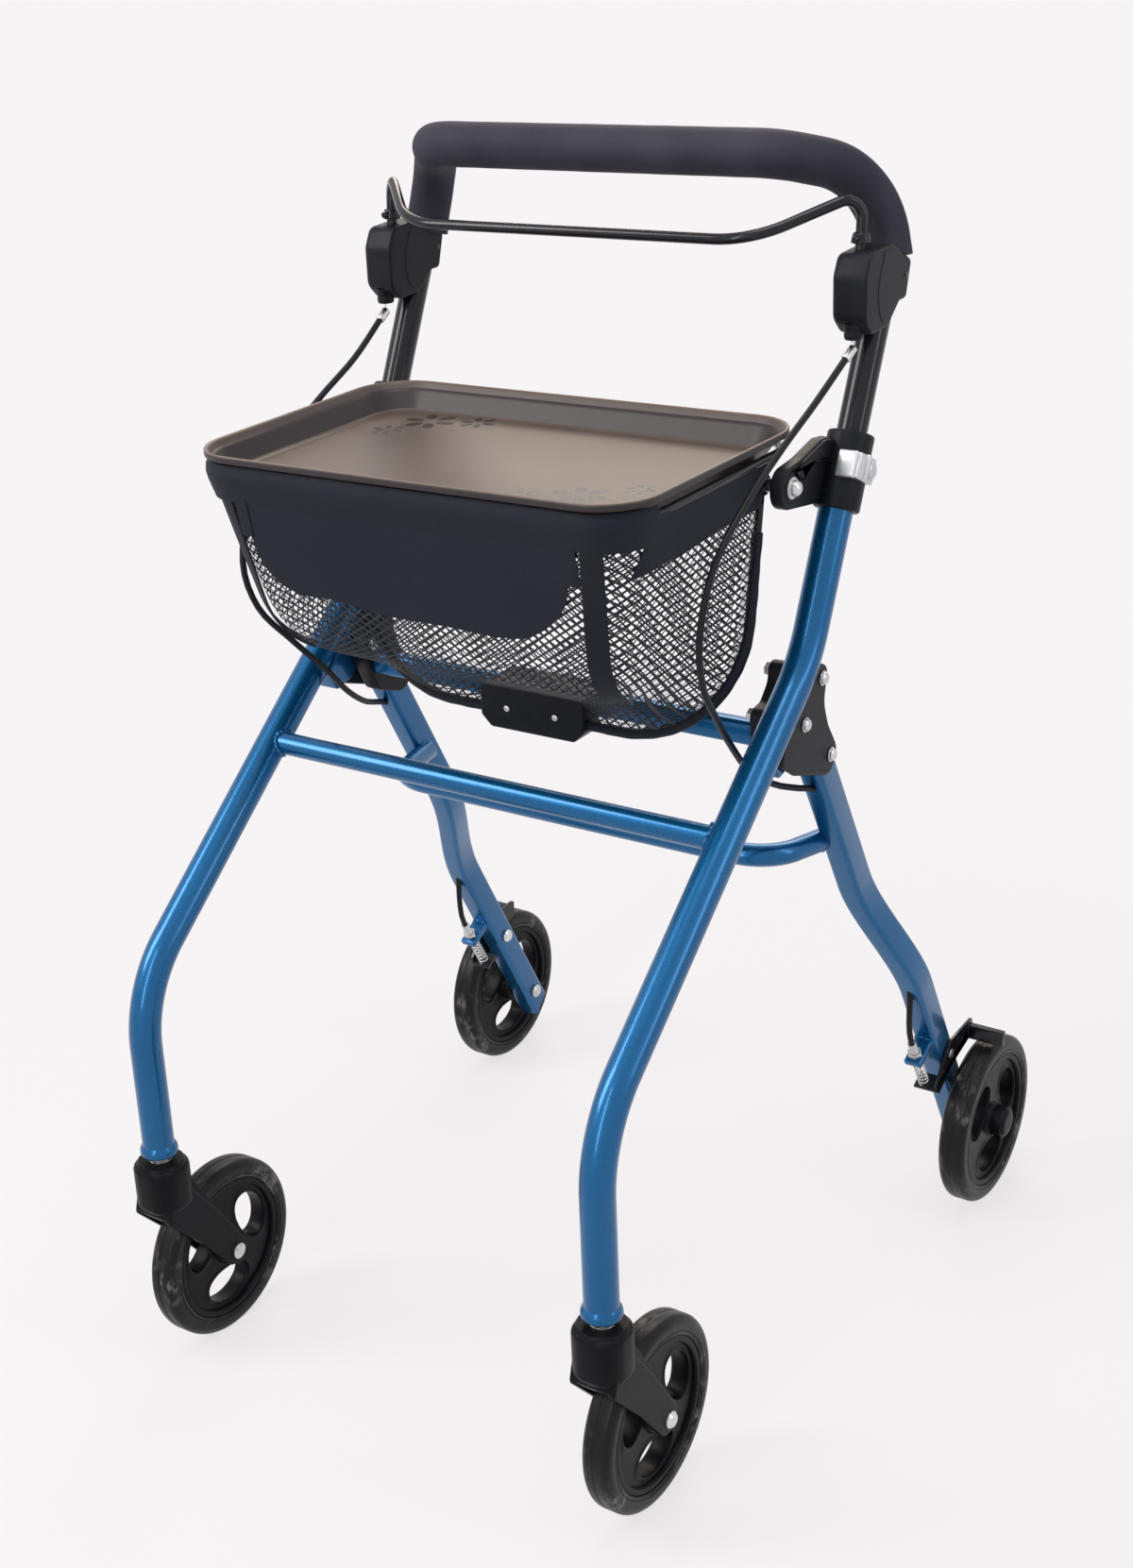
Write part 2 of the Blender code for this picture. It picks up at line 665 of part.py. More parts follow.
def loft(name, rings, open_end=False):
    """A skin over rings of equal length, closed at both ends unless the first end stays open."""
    rings = np.asarray(rings)
    count, around = rings.shape[:2]
    faces = []
    for ring in range(count - 1):
        for k in range(around):
            a = ring * around + k
            b = ring * around + (k + 1) % around
            faces.append((a, b, b + around, a + around))
    if not open_end:
        faces.append(tuple(range(around))[::-1])
    faces.append(tuple(range((count - 1) * around, count * around)))
    mesh = bpy.data.meshes.new(name)
    mesh.from_pydata(rings.reshape(-1, 3).tolist(), [], faces)
    made = bpy.data.objects.new(name, mesh)
    parts.objects.link(made)
    return made


def bolt_profile(radius, length, head_radius, head_height, nut_radius=0, nut_height=0):
    """A bolt along its axis from its nut, at negative heights, to the top of its domed head."""
    profile = [
        (0, length + head_height),
        (head_radius * 0.7, length + head_height),
        (head_radius, length + head_height * 0.5),
        (head_radius, length),
        (radius, length),
    ]
    if not nut_radius:
        return profile + [(radius, 0), (0, 0)]
    return profile + [
        (radius, 0),
        (nut_radius, 0),
        (nut_radius, -nut_height * 0.6),
        (nut_radius * 0.4, -nut_height),
        (0, -nut_height),
    ]


def along_handle(side, distance, across=0.0, back=0.0):
    """A place on the line of the handle tube: up it from the upper bend, and off it."""
    middle = Vector((side * (FRAME_HALF_WIDTH + across), *UPPER_BEND))
    return middle + HANDLE_UP * distance + HANDLE_BACKWARD * back


def leg_middle_x(distance):
    """The leg steps outward between its upper and lower straight parts, on a smooth S curve."""
    share = min(max((distance - JOGGLE_START) / (JOGGLE_END - JOGGLE_START), 0), 1)
    return LEG_CENTRE_X + (LEG_FOOT_X - LEG_CENTRE_X) * share * share * (3 - 2 * share)


def along_leg(side, distance, forward=0.0, across=0.0):
    """A place on the rear leg: down it from the pivot, in front of its middle, and outward."""
    middle = Vector((side * (leg_middle_x(distance) + across), *LEG_PIVOT))
    return middle + LEG_DOWN * distance + LEG_FORWARD * forward


def main_tube_path(side):
    x = side * FRAME_HALF_WIDTH
    corners = [(x, 0, MAIN_TUBE_FOOT), (x, *LOWER_BEND), (x, *UPPER_BEND)]
    corners.append(along_handle(side, MAIN_TUBE_END))
    return rounded_path(corners, (LOWER_BEND_RADIUS, UPPER_BEND_RADIUS))


def main_tube_space(side):
    return tube("main_tube_space", main_tube_path(side), MAIN_TUBE_RADIUS + GAP)


def make_main_tube(name, side):
    """The bent front tube with its hinge gusset, its foot ring and the bore that takes the handle tube."""
    piece = tube("main_tube_" + name, main_tube_path(side), MAIN_TUBE_RADIUS)
    gusset_x = side * LEG_CENTRE_X
    outline = rounded_outline(GUSSET_CORNERS)
    foot = (side * FRAME_HALF_WIDTH, 0, MAIN_TUBE_FOOT)
    ring = (
        (MAIN_TUBE_BORE, FOOT_RING_HEIGHT),
        (FOOT_RING_RADIUS - 0.002, FOOT_RING_HEIGHT),
        (FOOT_RING_RADIUS, FOOT_RING_HEIGHT - 0.002),
        (FOOT_RING_RADIUS, 0.0001),
        (MAIN_TUBE_BORE, 0.0001),
    )
    join(
        piece,
        plate("gusset", [outline], 2 * GUSSET_HALF_THICKNESS, gusset_x),
        turned("foot_ring", ring, foot, (0, 0, 1), BEARING_STEPS, bored=True),
    )
    cut(piece, tube("main_bore", lengthened(main_tube_path(side), 0.01), MAIN_TUBE_BORE))
    for place in (HINGE_TOP_BOLT, HINGE_MIDDLE_BOLT):
        start = (side * (LEG_CENTRE_X - BOLT_HOLE_LENGTH / 2), *place)
        cut(piece, rod("bolt_hole", start, (side, 0, 0), BOLT_HOLE_LENGTH, HINGE_BOLT_RADIUS + BOLT_GAP, HOLE_STEPS))
    pin_hole = along_handle(side, BLOCK_BOTTOM + BLOCK_HEIGHT / 2, 0.005, BUTTON_BACK)
    cut(piece, rod("button_hole", pin_hole, (side, 0, 0), 0.02, BUTTON_STEM_RADIUS + BOLT_GAP, HOLE_STEPS))
    return put(piece, "front_frame", "blue_paint")


def make_cross_tubes():
    front_z = LOWER_BEND[1] + (FRONT_CROSS_Y - LOWER_BEND[0]) * (UPPER_BEND[1] - LOWER_BEND[1]) / UPPER_BEND[0]
    ends = [Vector((x * FRAME_HALF_WIDTH, FRONT_CROSS_Y, front_z)) for x in (-1, 1)]
    front = tube("front_cross_tube", ends, CROSS_TUBE_RADIUS, MEDIUM)
    cut(front, *[main_tube_space(side) for _, side in SIDES])
    cut(front, tube("front_cross_bore", lengthened(ends, 0.01), CROSS_TUBE_BORE, MEDIUM))
    put(front, "front_frame", "blue_paint")
    section = round_rectangle(UPPER_CROSS_DEPTH / 2, UPPER_CROSS_HEIGHT / 2, UPPER_CROSS_ROUNDING)
    inside = round_rectangle(
        UPPER_CROSS_DEPTH / 2 - UPPER_CROSS_WALL,
        UPPER_CROSS_HEIGHT / 2 - UPPER_CROSS_WALL,
        UPPER_CROSS_ROUNDING - UPPER_CROSS_WALL,
    )
    outlines = [(outline + np.array(UPPER_CROSS_PLACE)).tolist() for outline in (section, inside)]
    reach = INNER_SHELL_X - INNER_SHELL_THICKNESS / 2 - GAP
    put(plate("upper_cross_tube", outlines, 2 * reach, 0), "front_frame", "blue_paint")


def make_hinge(name, side):
    """The two moulded shells that hold the leg's top, and the three bolts through them."""
    edge = rounded_outline(SHELL_CORNERS)
    shells = (
        ("hinge_shell_outer_", OUTER_SHELL_X, OUTER_SHELL_THICKNESS),
        ("hinge_shell_inner_", INNER_SHELL_X, INNER_SHELL_THICKNESS),
    )
    for label, middle_x, thickness in shells:
        holes = [
            circle(place, HINGE_BOLT_RADIUS + BOLT_GAP, HOLE_STEPS)
            for place in (HINGE_TOP_BOLT, HINGE_MIDDLE_BOLT, LEG_PIVOT)
        ]
        shell = plate(label + name, [edge, *holes], thickness, side * middle_x)
        if middle_x == OUTER_SHELL_X:
            cut(shell, main_tube_space(side))
        put(shell, "front_frame", "black_plastic")
    inner_face = INNER_SHELL_X - INNER_SHELL_THICKNESS / 2 - GAP
    outer_face = OUTER_SHELL_X + OUTER_SHELL_THICKNESS / 2 + GAP
    profile = bolt_profile(
        HINGE_BOLT_RADIUS,
        outer_face - inner_face,
        HINGE_HEAD_RADIUS,
        HINGE_HEAD_HEIGHT,
        HINGE_NUT_RADIUS,
        HINGE_NUT_HEIGHT,
    )
    bolts = (
        ("hinge_bolt_top_", HINGE_TOP_BOLT),
        ("hinge_bolt_middle_", HINGE_MIDDLE_BOLT),
        ("leg_pivot_bolt_", LEG_PIVOT),
    )
    for label, place in bolts:
        start = (side * inner_face, *place)
        steps = BEARING_STEPS if place == LEG_PIVOT else BOLT_STEPS
        put(turned(label + name, profile, start, (side, 0, 0), steps), "front_frame", "steel")


def make_caster_stem(name, side):
    """The plug in the foot of the main tube, its nut and the stem that the fork turns on."""
    profile = (
        (0, STEM_PLUG_TOP),
        (MAIN_TUBE_BORE - 2 * GAP, STEM_PLUG_TOP),
        (MAIN_TUBE_BORE - 2 * GAP, MAIN_TUBE_FOOT),
        (STEM_NUT_RADIUS, MAIN_TUBE_FOOT),
        (STEM_NUT_RADIUS, FORK_TOP + GAP),
        (STEM_RADIUS, FORK_TOP + GAP),
        (STEM_RADIUS, STEM_END),
        (0, STEM_END),
    )
    stem = turned("caster_stem_" + name, profile, (side * FRAME_HALF_WIDTH, 0, 0), (0, 0, 1), BEARING_STEPS)
    put(stem, "front_frame", "steel")


def make_caster_fork(name, side):
    x = side * FRAME_HALF_WIDTH
    bore = STEM_RADIUS + RUNNING_GAP
    profile = (
        (0, STEM_END - 0.002),
        (bore, STEM_END - 0.002),
        (bore, FORK_TOP),
        (FORK_CUP_RADIUS - 0.002, FORK_TOP),
        (FORK_CUP_RADIUS, FORK_TOP - 0.003),
        (FORK_CUP_RADIUS, FORK_CUP_BOTTOM + 0.006),
        (FORK_CUP_RADIUS - 0.002, FORK_CUP_BOTTOM),
        (0, FORK_CUP_BOTTOM),
    )
    fork = turned("caster_fork_" + name, profile, (x, 0, 0), (0, 0, 1), BEARING_STEPS)
    outline = link_outline(FORK_ARM_TOP, FORK_ARM_TOP_RADIUS, CASTER_AXLE, FORK_EYE_RADIUS, 7)
    for lateral in (-1, 1):
        middle = x + lateral * (FORK_ARM_INSIDE + FORK_ARM_THICKNESS / 2)
        join(fork, plate("fork_arm", [outline], FORK_ARM_THICKNESS, middle))
    hole_start = (x - 0.03, *CASTER_AXLE)
    cut(fork, rod("fork_hole", hole_start, (1, 0, 0), 0.06, AXLE_RADIUS + BOLT_GAP, HOLE_STEPS))
    put(fork, "caster_" + name, "black_plastic")
    reach = FORK_ARM_INSIDE + FORK_ARM_THICKNESS + GAP
    bolt = bolt_profile(
        AXLE_RADIUS, 2 * reach, CASTER_HEAD_RADIUS, CASTER_HEAD_HEIGHT, CASTER_HEAD_RADIUS, CASTER_HEAD_HEIGHT
    )
    start = (x - side * reach, *CASTER_AXLE)
    axle = turned("caster_axle_bolt_" + name, bolt, start, (side, 0, 0), BEARING_STEPS)
    put(axle, "caster_" + name, "steel")


def spoke_hole(turn):
    """One oval opening of the wheel, round the wheel's middle by the given turn."""
    outline = []
    for k in range(SPOKE_HOLE_STEPS):
        angle = math.tau * k / SPOKE_HOLE_STEPS
        out = SPOKE_HOLE_CENTRE + SPOKE_HOLE_ACROSS * math.cos(angle)
        swing = turn + SPOKE_HOLE_ALONG * math.sin(angle) / SPOKE_HOLE_CENTRE
        outline.append((out * math.cos(swing), out * math.sin(swing)))
    return outline


def make_wheel(label, name, body, centre, hub, bore):
    """A spoked core with three oval openings, and the tyre on it; hub is the outer profile of its middle."""
    place = Vector(centre)
    rim = TYRE_INNER_RADIUS - GAP
    web, edge = CORE_WIDTH / 2, CORE_RIM_WIDTH / 2
    outside = Vector((math.copysign(1, place.x), 0, 0))
    ring = [(rim - RIM_THICKNESS, -web), (rim - RIM_THICKNESS, -edge), (rim, -edge)]
    ring += [(rim, edge), (rim - RIM_THICKNESS, edge), (rim - RIM_THICKNESS, web)]
    profile = [(0, hub[0][1])] + hub[:-1] + [(HUB_RADIUS, -web)] + ring
    profile += [(HUB_RADIUS, web), hub[-1], (hub[-1][0] - HUB_CAP_BEVEL, hub[-1][1] + HUB_CAP_BEVEL)]
    profile.append((0, profile[-1][1]))
    core = turned(label + "_wheel_core_" + name, profile[::-1], place, outside, WHEEL_STEPS)
    for k in range(SPOKE_HOLES):
        outline = [(y + place.y, z + place.z) for y, z in spoke_hole(SPOKE_HOLE_TURN + math.tau * k / SPOKE_HOLES)]
        cut(core, plate("spoke_hole", [outline], 3 * CORE_WIDTH, place.x))
    start, end = bore
    bore_start = place + outside * start
    cut(core, rod("bore", bore_start, outside, end - start, AXLE_RADIUS + RUNNING_GAP, BEARING_STEPS))
    put(core, body, "black_plastic")
    half = TYRE_WIDTH / 2
    shoulder, crown = WHEEL_RADIUS - TREAD_ROUNDING, half - TREAD_ROUNDING * 0.7
    section = [(TYRE_INNER_RADIUS, -half), (TYRE_INNER_RADIUS, half), (shoulder, half)]
    section += [(WHEEL_RADIUS, crown), (WHEEL_RADIUS, -crown), (shoulder, -half)]
    tyre = turned(label + "_tyre_" + name, section, place, outside, WHEEL_STEPS, bored=True)
    put(tyre, body, "tyre")


def make_caster_wheel(name, side):
    centre = (side * FRAME_HALF_WIDTH, *CASTER_AXLE)
    half = FORK_ARM_INSIDE - 2 * GAP
    hub = [(HUB_RADIUS - HUB_CAP_BEVEL, -half), (HUB_RADIUS, HUB_CAP_BEVEL - half), (HUB_RADIUS, half - HUB_CAP_BEVEL)]
    make_wheel("caster", name, "caster_wheel_" + name, centre, hub, (-2 * half, 2 * half))


def make_rear_wheel(name, side):
    """The rear wheel's hub runs from the leg out to a round cap that hides the axle's end."""
    centre = (side * REAR_WHEEL_X, *REAR_AXLE)
    inner = LEG_OUTER_X + 2 * GAP - REAR_WHEEL_X
    outer = HUB_CAP_END_X - REAR_WHEEL_X
    hub = [(HUB_RADIUS - HUB_CAP_BEVEL, inner), (HUB_RADIUS, inner + HUB_CAP_BEVEL), (HUB_RADIUS, outer - HUB_CAP_BEVEL)]
    bore = (inner - 0.01, REAR_AXLE_END_X + 2 * GAP - REAR_WHEEL_X)
    make_wheel("rear", name, "rear_wheel_" + name, centre, hub, bore)


def leg_rings(side, inset, start, end):
    """Sections of the leg between two distances: a rounded top at the pivot, a smooth S step and a slanted end."""
    half_width = LEG_WIDTH / 2 - inset
    half_depth = LEG_DEPTH / 2 - inset
    corner = LEG_ROUNDING - inset * 0.8
    stations = []
    if start < 0:
        for angle in (12, 36, 62):
            angle = math.radians(angle)
            stations.append((-half_depth * math.cos(angle), half_depth * math.sin(angle)))
        start = 0
    steps = 6
    stations.append((start, half_depth))
    for k in range(steps + 1):
        stations.append((JOGGLE_START + (JOGGLE_END - JOGGLE_START) * k / steps, half_depth))
    stations.append((end, half_depth))
    rings = []
    for distance, depth in stations:
        section = round_rectangle(half_width, depth, min(corner, depth * 0.8), 2 if inset > 0 else 3)
        slant = LEG_END_SLANT if distance == end else 0
        ring = [along_leg(1, distance, b, a) + LEG_DOWN * b * slant for a, b in section]
        rings.append([(side * point.x, point.y, point.z) for point in ring])
    return rings


def leg_space(side):
    """The leg's outer shape with a gap all round, to cut what meets it."""
    space = loft("leg_space", leg_rings(side, -GAP, -1, LEG_END))
    return closed_mesh("leg_space", space)


def cable_leg_points(side):
    """The cable inside the hollow leg, out of it again and on to the adjuster."""
    points = [along_leg(side, distance, forward) for forward, distance in CABLE_LEG_ROUTE]
    first, last = CABLE_LEG_ROUTE[-1][1], CABLE_LEG_LAST
    for k in range(1, CABLE_LEG_STEPS + 1):
        points.append(along_leg(side, first + (last - first) * k / CABLE_LEG_STEPS))
    points += [along_leg(side, distance, forward) for forward, distance in CABLE_EXIT_ROUTE]
    return points + [along_leg(side, ADJUSTER_TOP, CABLE_OFFSET)]


def make_rear_leg(name, side):
    """The hollow leg with the welded lug that holds the cable adjuster."""
    leg = closed_mesh("rear_leg_" + name, loft("leg", leg_rings(side, 0, -1, LEG_END)))
    lug = box("lug", (-LUG_WIDTH / 2, 0.0095, -LUG_THICKNESS / 2), (LUG_WIDTH / 2, LUG_REACH, LUG_THICKNESS / 2))
    across = Vector((1, 0, 0))
    turn = Matrix((across, LEG_FORWARD, LEG_DOWN)).transposed().to_4x4()
    lug.matrix_world = Matrix.Translation(along_leg(side, LUG_PLACE)) @ turn
    join(leg, lug)
    cut(leg, closed_mesh("leg_cavity", loft("cavity", leg_rings(side, LEG_WALL, LEG_CAVITY_START, LEG_END + 0.02))))
    adjuster_start = along_leg(side, LUG_PLACE - 0.02, CABLE_OFFSET)
    cut(leg, rod("adjuster_hole", adjuster_start, LEG_DOWN, 0.04, ADJUSTER_RADIUS + BOLT_GAP, HOLE_STEPS))
    crossings = (
        (LEG_PIVOT, HINGE_BOLT_RADIUS + RUNNING_GAP, LEG_CENTRE_X, BEARING_STEPS),
        (REAR_AXLE, AXLE_RADIUS + BOLT_GAP, LEG_FOOT_X, HOLE_STEPS),
        (BRAKE_PIVOT, BRAKE_PIVOT_RADIUS + BOLT_GAP, LEG_FOOT_X, HOLE_STEPS),
    )
    for place, radius, middle_x, steps in crossings:
        start = (side * (middle_x - LEG_WIDTH), *place)
        cut(leg, rod("cross_hole", start, (side, 0, 0), 2 * LEG_WIDTH, radius, steps))
    entry, exit_points = Vector(CABLE_FREE_ROUTE[-1]), cable_leg_points(side)
    entry.x *= side
    inward = (exit_points[0] - entry).normalized()
    cut(leg, rod("cable_entry", entry, inward, (exit_points[1] - entry).length, CABLE_HOLE_RADIUS, HOLE_STEPS))
    inside, outside = exit_points[-5], exit_points[-3]
    outward = outside - inside
    cut(leg, rod("cable_exit", inside, outward.normalized(), outward.length, CABLE_HOLE_RADIUS, HOLE_STEPS))
    put(leg, "rear_frame", "blue_paint")


def make_rear_cross_tube():
    """The bent tube that ties the two legs, bowed forward between them."""
    path = []
    for _, side in reversed(SIDES):
        end = (side * REAR_CROSS_END[0], *REAR_CROSS_END[1:])
        corner = (side * REAR_CROSS_CORNER[0], *REAR_CROSS_CORNER[1:])
        path += [end, corner] if side < 0 else [corner, end]
    path = rounded_path(path, (REAR_CROSS_BEND_RADIUS, REAR_CROSS_BEND_RADIUS))
    cross = tube("rear_cross_tube", path, CROSS_TUBE_RADIUS, MEDIUM)
    cut(cross, *[leg_space(side) for _, side in SIDES])
    cut(cross, tube("rear_cross_bore", lengthened(path, 0.004), CROSS_TUBE_BORE, COARSE))
    put(cross, "rear_frame", "blue_paint")


def make_rear_bolts(name, side):
    """The rear axle bolt and the brake pivot bolt, both with their heads on the leg's inner face."""
    inner = LEG_FOOT_X - LEG_WIDTH / 2 - GAP
    axle = bolt_profile(AXLE_RADIUS, REAR_AXLE_END_X - inner, REAR_AXLE_HEAD_RADIUS, REAR_AXLE_HEAD_HEIGHT)
    start = (side * REAR_AXLE_END_X, *REAR_AXLE)
    put(turned("rear_axle_bolt_" + name, axle, start, (-side, 0, 0), BEARING_STEPS), "rear_frame", "steel")
    outer = BRAKE_PLATE_X + BRAKE_PLATE_THICKNESS / 2 + GAP
    pivot = bolt_profile(
        BRAKE_PIVOT_RADIUS, outer - inner, BRAKE_PIVOT_HEAD_RADIUS, BRAKE_PIVOT_HEAD_HEIGHT, 0.0042, 0.0012
    )
    start = (side * outer, *BRAKE_PIVOT)
    put(turned("brake_pivot_bolt_" + name, pivot, start, (-side, 0, 0), BEARING_STEPS), "rear_frame", "steel")


def make_brake_arm(name, side):
    """A pressed plate with a tab for the cable in front and a shoe that reaches over the tyre behind."""
    hole = circle(BRAKE_PIVOT, BRAKE_PIVOT_RADIUS + RUNNING_GAP, BEARING_STEPS)
    outline = rounded_outline(BRAKE_PLATE_CORNERS)
    arm = plate("brake_arm_" + name, [outline, hole], BRAKE_PLATE_THICKNESS, side * BRAKE_PLATE_X)
    inner = BRAKE_PLATE_X - BRAKE_PLATE_THICKNESS / 2
    outer = BRAKE_PLATE_X + BRAKE_PLATE_THICKNESS / 2
    reach = BRAKE_SHOE_Y - REAR_AXLE[0]
    tread = REAR_AXLE[1] + math.sqrt(WHEEL_RADIUS**2 - reach**2)
    low = tread + BRAKE_SHOE_CLEARANCE
    shoe = box(
        "shoe",
        (side * (inner + 0.0006), BRAKE_SHOE_Y - BRAKE_SHOE_DEPTH / 2, low),
        (side * BRAKE_SHOE_OUTER_X, BRAKE_SHOE_Y + BRAKE_SHOE_DEPTH / 2, low + BRAKE_SHOE_HEIGHT),
    )
    tab = box(
        "tab",
        (BRAKE_TAB_INNER_X - LEG_FOOT_X, BRAKE_TAB_FROM, -BRAKE_TAB_THICKNESS / 2),
        (outer - LEG_FOOT_X - 0.0006, BRAKE_TAB_TO, BRAKE_TAB_THICKNESS / 2),
    )
    across = Vector((side, 0, 0))
    turn = Matrix((across, LEG_FORWARD, LEG_DOWN)).transposed().to_4x4()
    place = along_leg(side, BRAKE_TAB_ALONG)
    tab.data.transform(Matrix.Translation(place) @ turn)
    join(arm, closed_mesh("tab", tab), shoe)
    wire_start = along_leg(side, BRAKE_TAB_ALONG - 0.01, CABLE_OFFSET)
    cut(arm, rod("wire_hole", wire_start, LEG_DOWN, 0.02, INNER_WIRE_RADIUS + 2 * GAP, HOLE_STEPS))
    put(arm, "brake_arm_" + name, "black_paint")


def make_adjuster(name, side):
    """The threaded barrel with its nut that sits in the lug and takes the cable's end."""
    body_length = ADJUSTER_END - ADJUSTER_TOP
    nut = LUG_PLACE - LUG_THICKNESS / 2 - GAP - ADJUSTER_TOP
    cup = CABLE_RADIUS + 2 * GAP
    profile = (
        (ADJUSTER_BORE, body_length),
        (ADJUSTER_BORE, ADJUSTER_CUP_DEPTH),
        (cup, ADJUSTER_CUP_DEPTH),
        (cup, 0),
        (ADJUSTER_RADIUS, 0),
        (ADJUSTER_RADIUS, nut - ADJUSTER_NUT_HEIGHT),
        (ADJUSTER_NUT_RADIUS, nut - ADJUSTER_NUT_HEIGHT),
        (ADJUSTER_NUT_RADIUS, nut),
        (ADJUSTER_RADIUS, nut),
        (ADJUSTER_RADIUS, body_length),
    )
    base = along_leg(side, ADJUSTER_TOP, CABLE_OFFSET)
    adjuster = turned("cable_adjuster_" + name, profile, base, LEG_DOWN, bored=True)
    put(adjuster, "rear_frame", "steel")


def make_spring(name, side):
    """The coil round the inner wire that pushes the brake arm off the tyre."""
    start = ADJUSTER_END + SPRING_WIRE_RADIUS + GAP
    end = BRAKE_TAB_ALONG - BRAKE_TAB_THICKNESS / 2 - SPRING_WIRE_RADIUS - GAP
    count = SPRING_TURNS * SPRING_STEPS
    path = []
    for k in range(count + 1):
        angle = math.tau * k / SPRING_STEPS
        forward = CABLE_OFFSET + SPRING_COIL_RADIUS * math.cos(angle)
        place = along_leg(side, start + (end - start) * k / count, forward)
        path.append(place + Vector((SPRING_COIL_RADIUS * math.sin(angle), 0, 0)))
    put(tube("brake_spring_" + name, path, SPRING_WIRE_RADIUS, 1), "rear_frame", "steel")


def smooth_route(points, spacing):
    """Points at even spacing on a smooth curve through the given points (Catmull-Rom with chord spacing)."""
    points = np.array([tuple(point) for point in points])
    ends = (2 * points[:1] - points[1:2], 2 * points[-1:] - points[-2:-1])
    padded = np.concatenate((ends[0], points, ends[1]))
    dense = []
    for k in range(1, len(padded) - 2):
        p0, p1, p2, p3 = padded[k - 1 : k + 3]
        d0, d1, d2 = (math.sqrt(np.linalg.norm(b - a)) for a, b in ((p0, p1), (p1, p2), (p2, p3)))
        first = (p1 - p0) / d0 - (p2 - p0) / (d0 + d1) + (p2 - p1) / d1
        last = (p2 - p1) / d1 - (p3 - p1) / (d1 + d2) + (p3 - p2) / d2
        for t in np.linspace(0, 1, 24, endpoint=False):
            blend = (2 * t**3 - 3 * t**2 + 1, t**3 - 2 * t**2 + t, 3 * t**2 - 2 * t**3, t**3 - t**2)
            dense.append(blend[0] * p1 + blend[1] * d1 * first + blend[2] * p2 + blend[3] * d1 * last)
    dense = np.array(dense + [points[-1]])
    run = np.concatenate(([0], np.cumsum(np.linalg.norm(np.diff(dense, axis=0), axis=1))))
    wanted = np.linspace(0, run[-1], round(run[-1] / spacing) + 1)
    return [Vector([np.interp(d, run, dense[:, axis]) for axis in range(3)]) for d in wanted]


def nub_bottom(side):
    return Vector((side * HOUSING_X, *NUB_PLACE))


def make_cable(name, side):
    """The brake cable: from the housing's nub, down inside the leg, to the nipple under the brake arm."""
    start = nub_bottom(side) + Vector(NUB_TO_FERRULE)
    route = [Vector((side * x, y, z)) for x, y, z in CABLE_FREE_ROUTE]
    away = (route[0] - start).normalized()
    route.insert(0, start + away * CABLE_FERRULE_LENGTH / 2)
    route += cable_leg_points(side)
    route.append(along_leg(side, ADJUSTER_TOP + ADJUSTER_CUP_DEPTH - GAP, CABLE_OFFSET))
    path = smooth_route(route, CABLE_POINT_SPACING)
    cable = tube("brake_cable_" + name, path, CABLE_RADIUS, COARSE)
    wire_start = along_leg(side, ADJUSTER_TOP + ADJUSTER_CUP_DEPTH - 0.004, CABLE_OFFSET)
    under_tab = BRAKE_TAB_ALONG + BRAKE_TAB_THICKNESS / 2 + GAP
    wire_length = under_tab + 0.001 - (ADJUSTER_TOP + ADJUSTER_CUP_DEPTH - 0.004)
    join(
        cable,
        rod("inner_wire", wire_start, LEG_DOWN, wire_length, INNER_WIRE_RADIUS, 8),
        rod("nipple", along_leg(side, under_tab, CABLE_OFFSET), LEG_DOWN, WIRE_NIPPLE_LENGTH, WIRE_NIPPLE_RADIUS, 10),
    )
    upper_start = nub_bottom(side) + Vector((0, 0, NUB_BORE_LENGTH - 2 * GAP))
    upper_run = start + away * CABLE_FERRULE_RADIUS - upper_start
    join(
        cable,
        rod("ferrule", start, away, CABLE_FERRULE_LENGTH, CABLE_FERRULE_RADIUS, 10),
        rod("upper_wire", upper_start, upper_run.normalized(), upper_run.length, INNER_WIRE_RADIUS, 8),
    )
    put(cable, "front_frame", "cable")


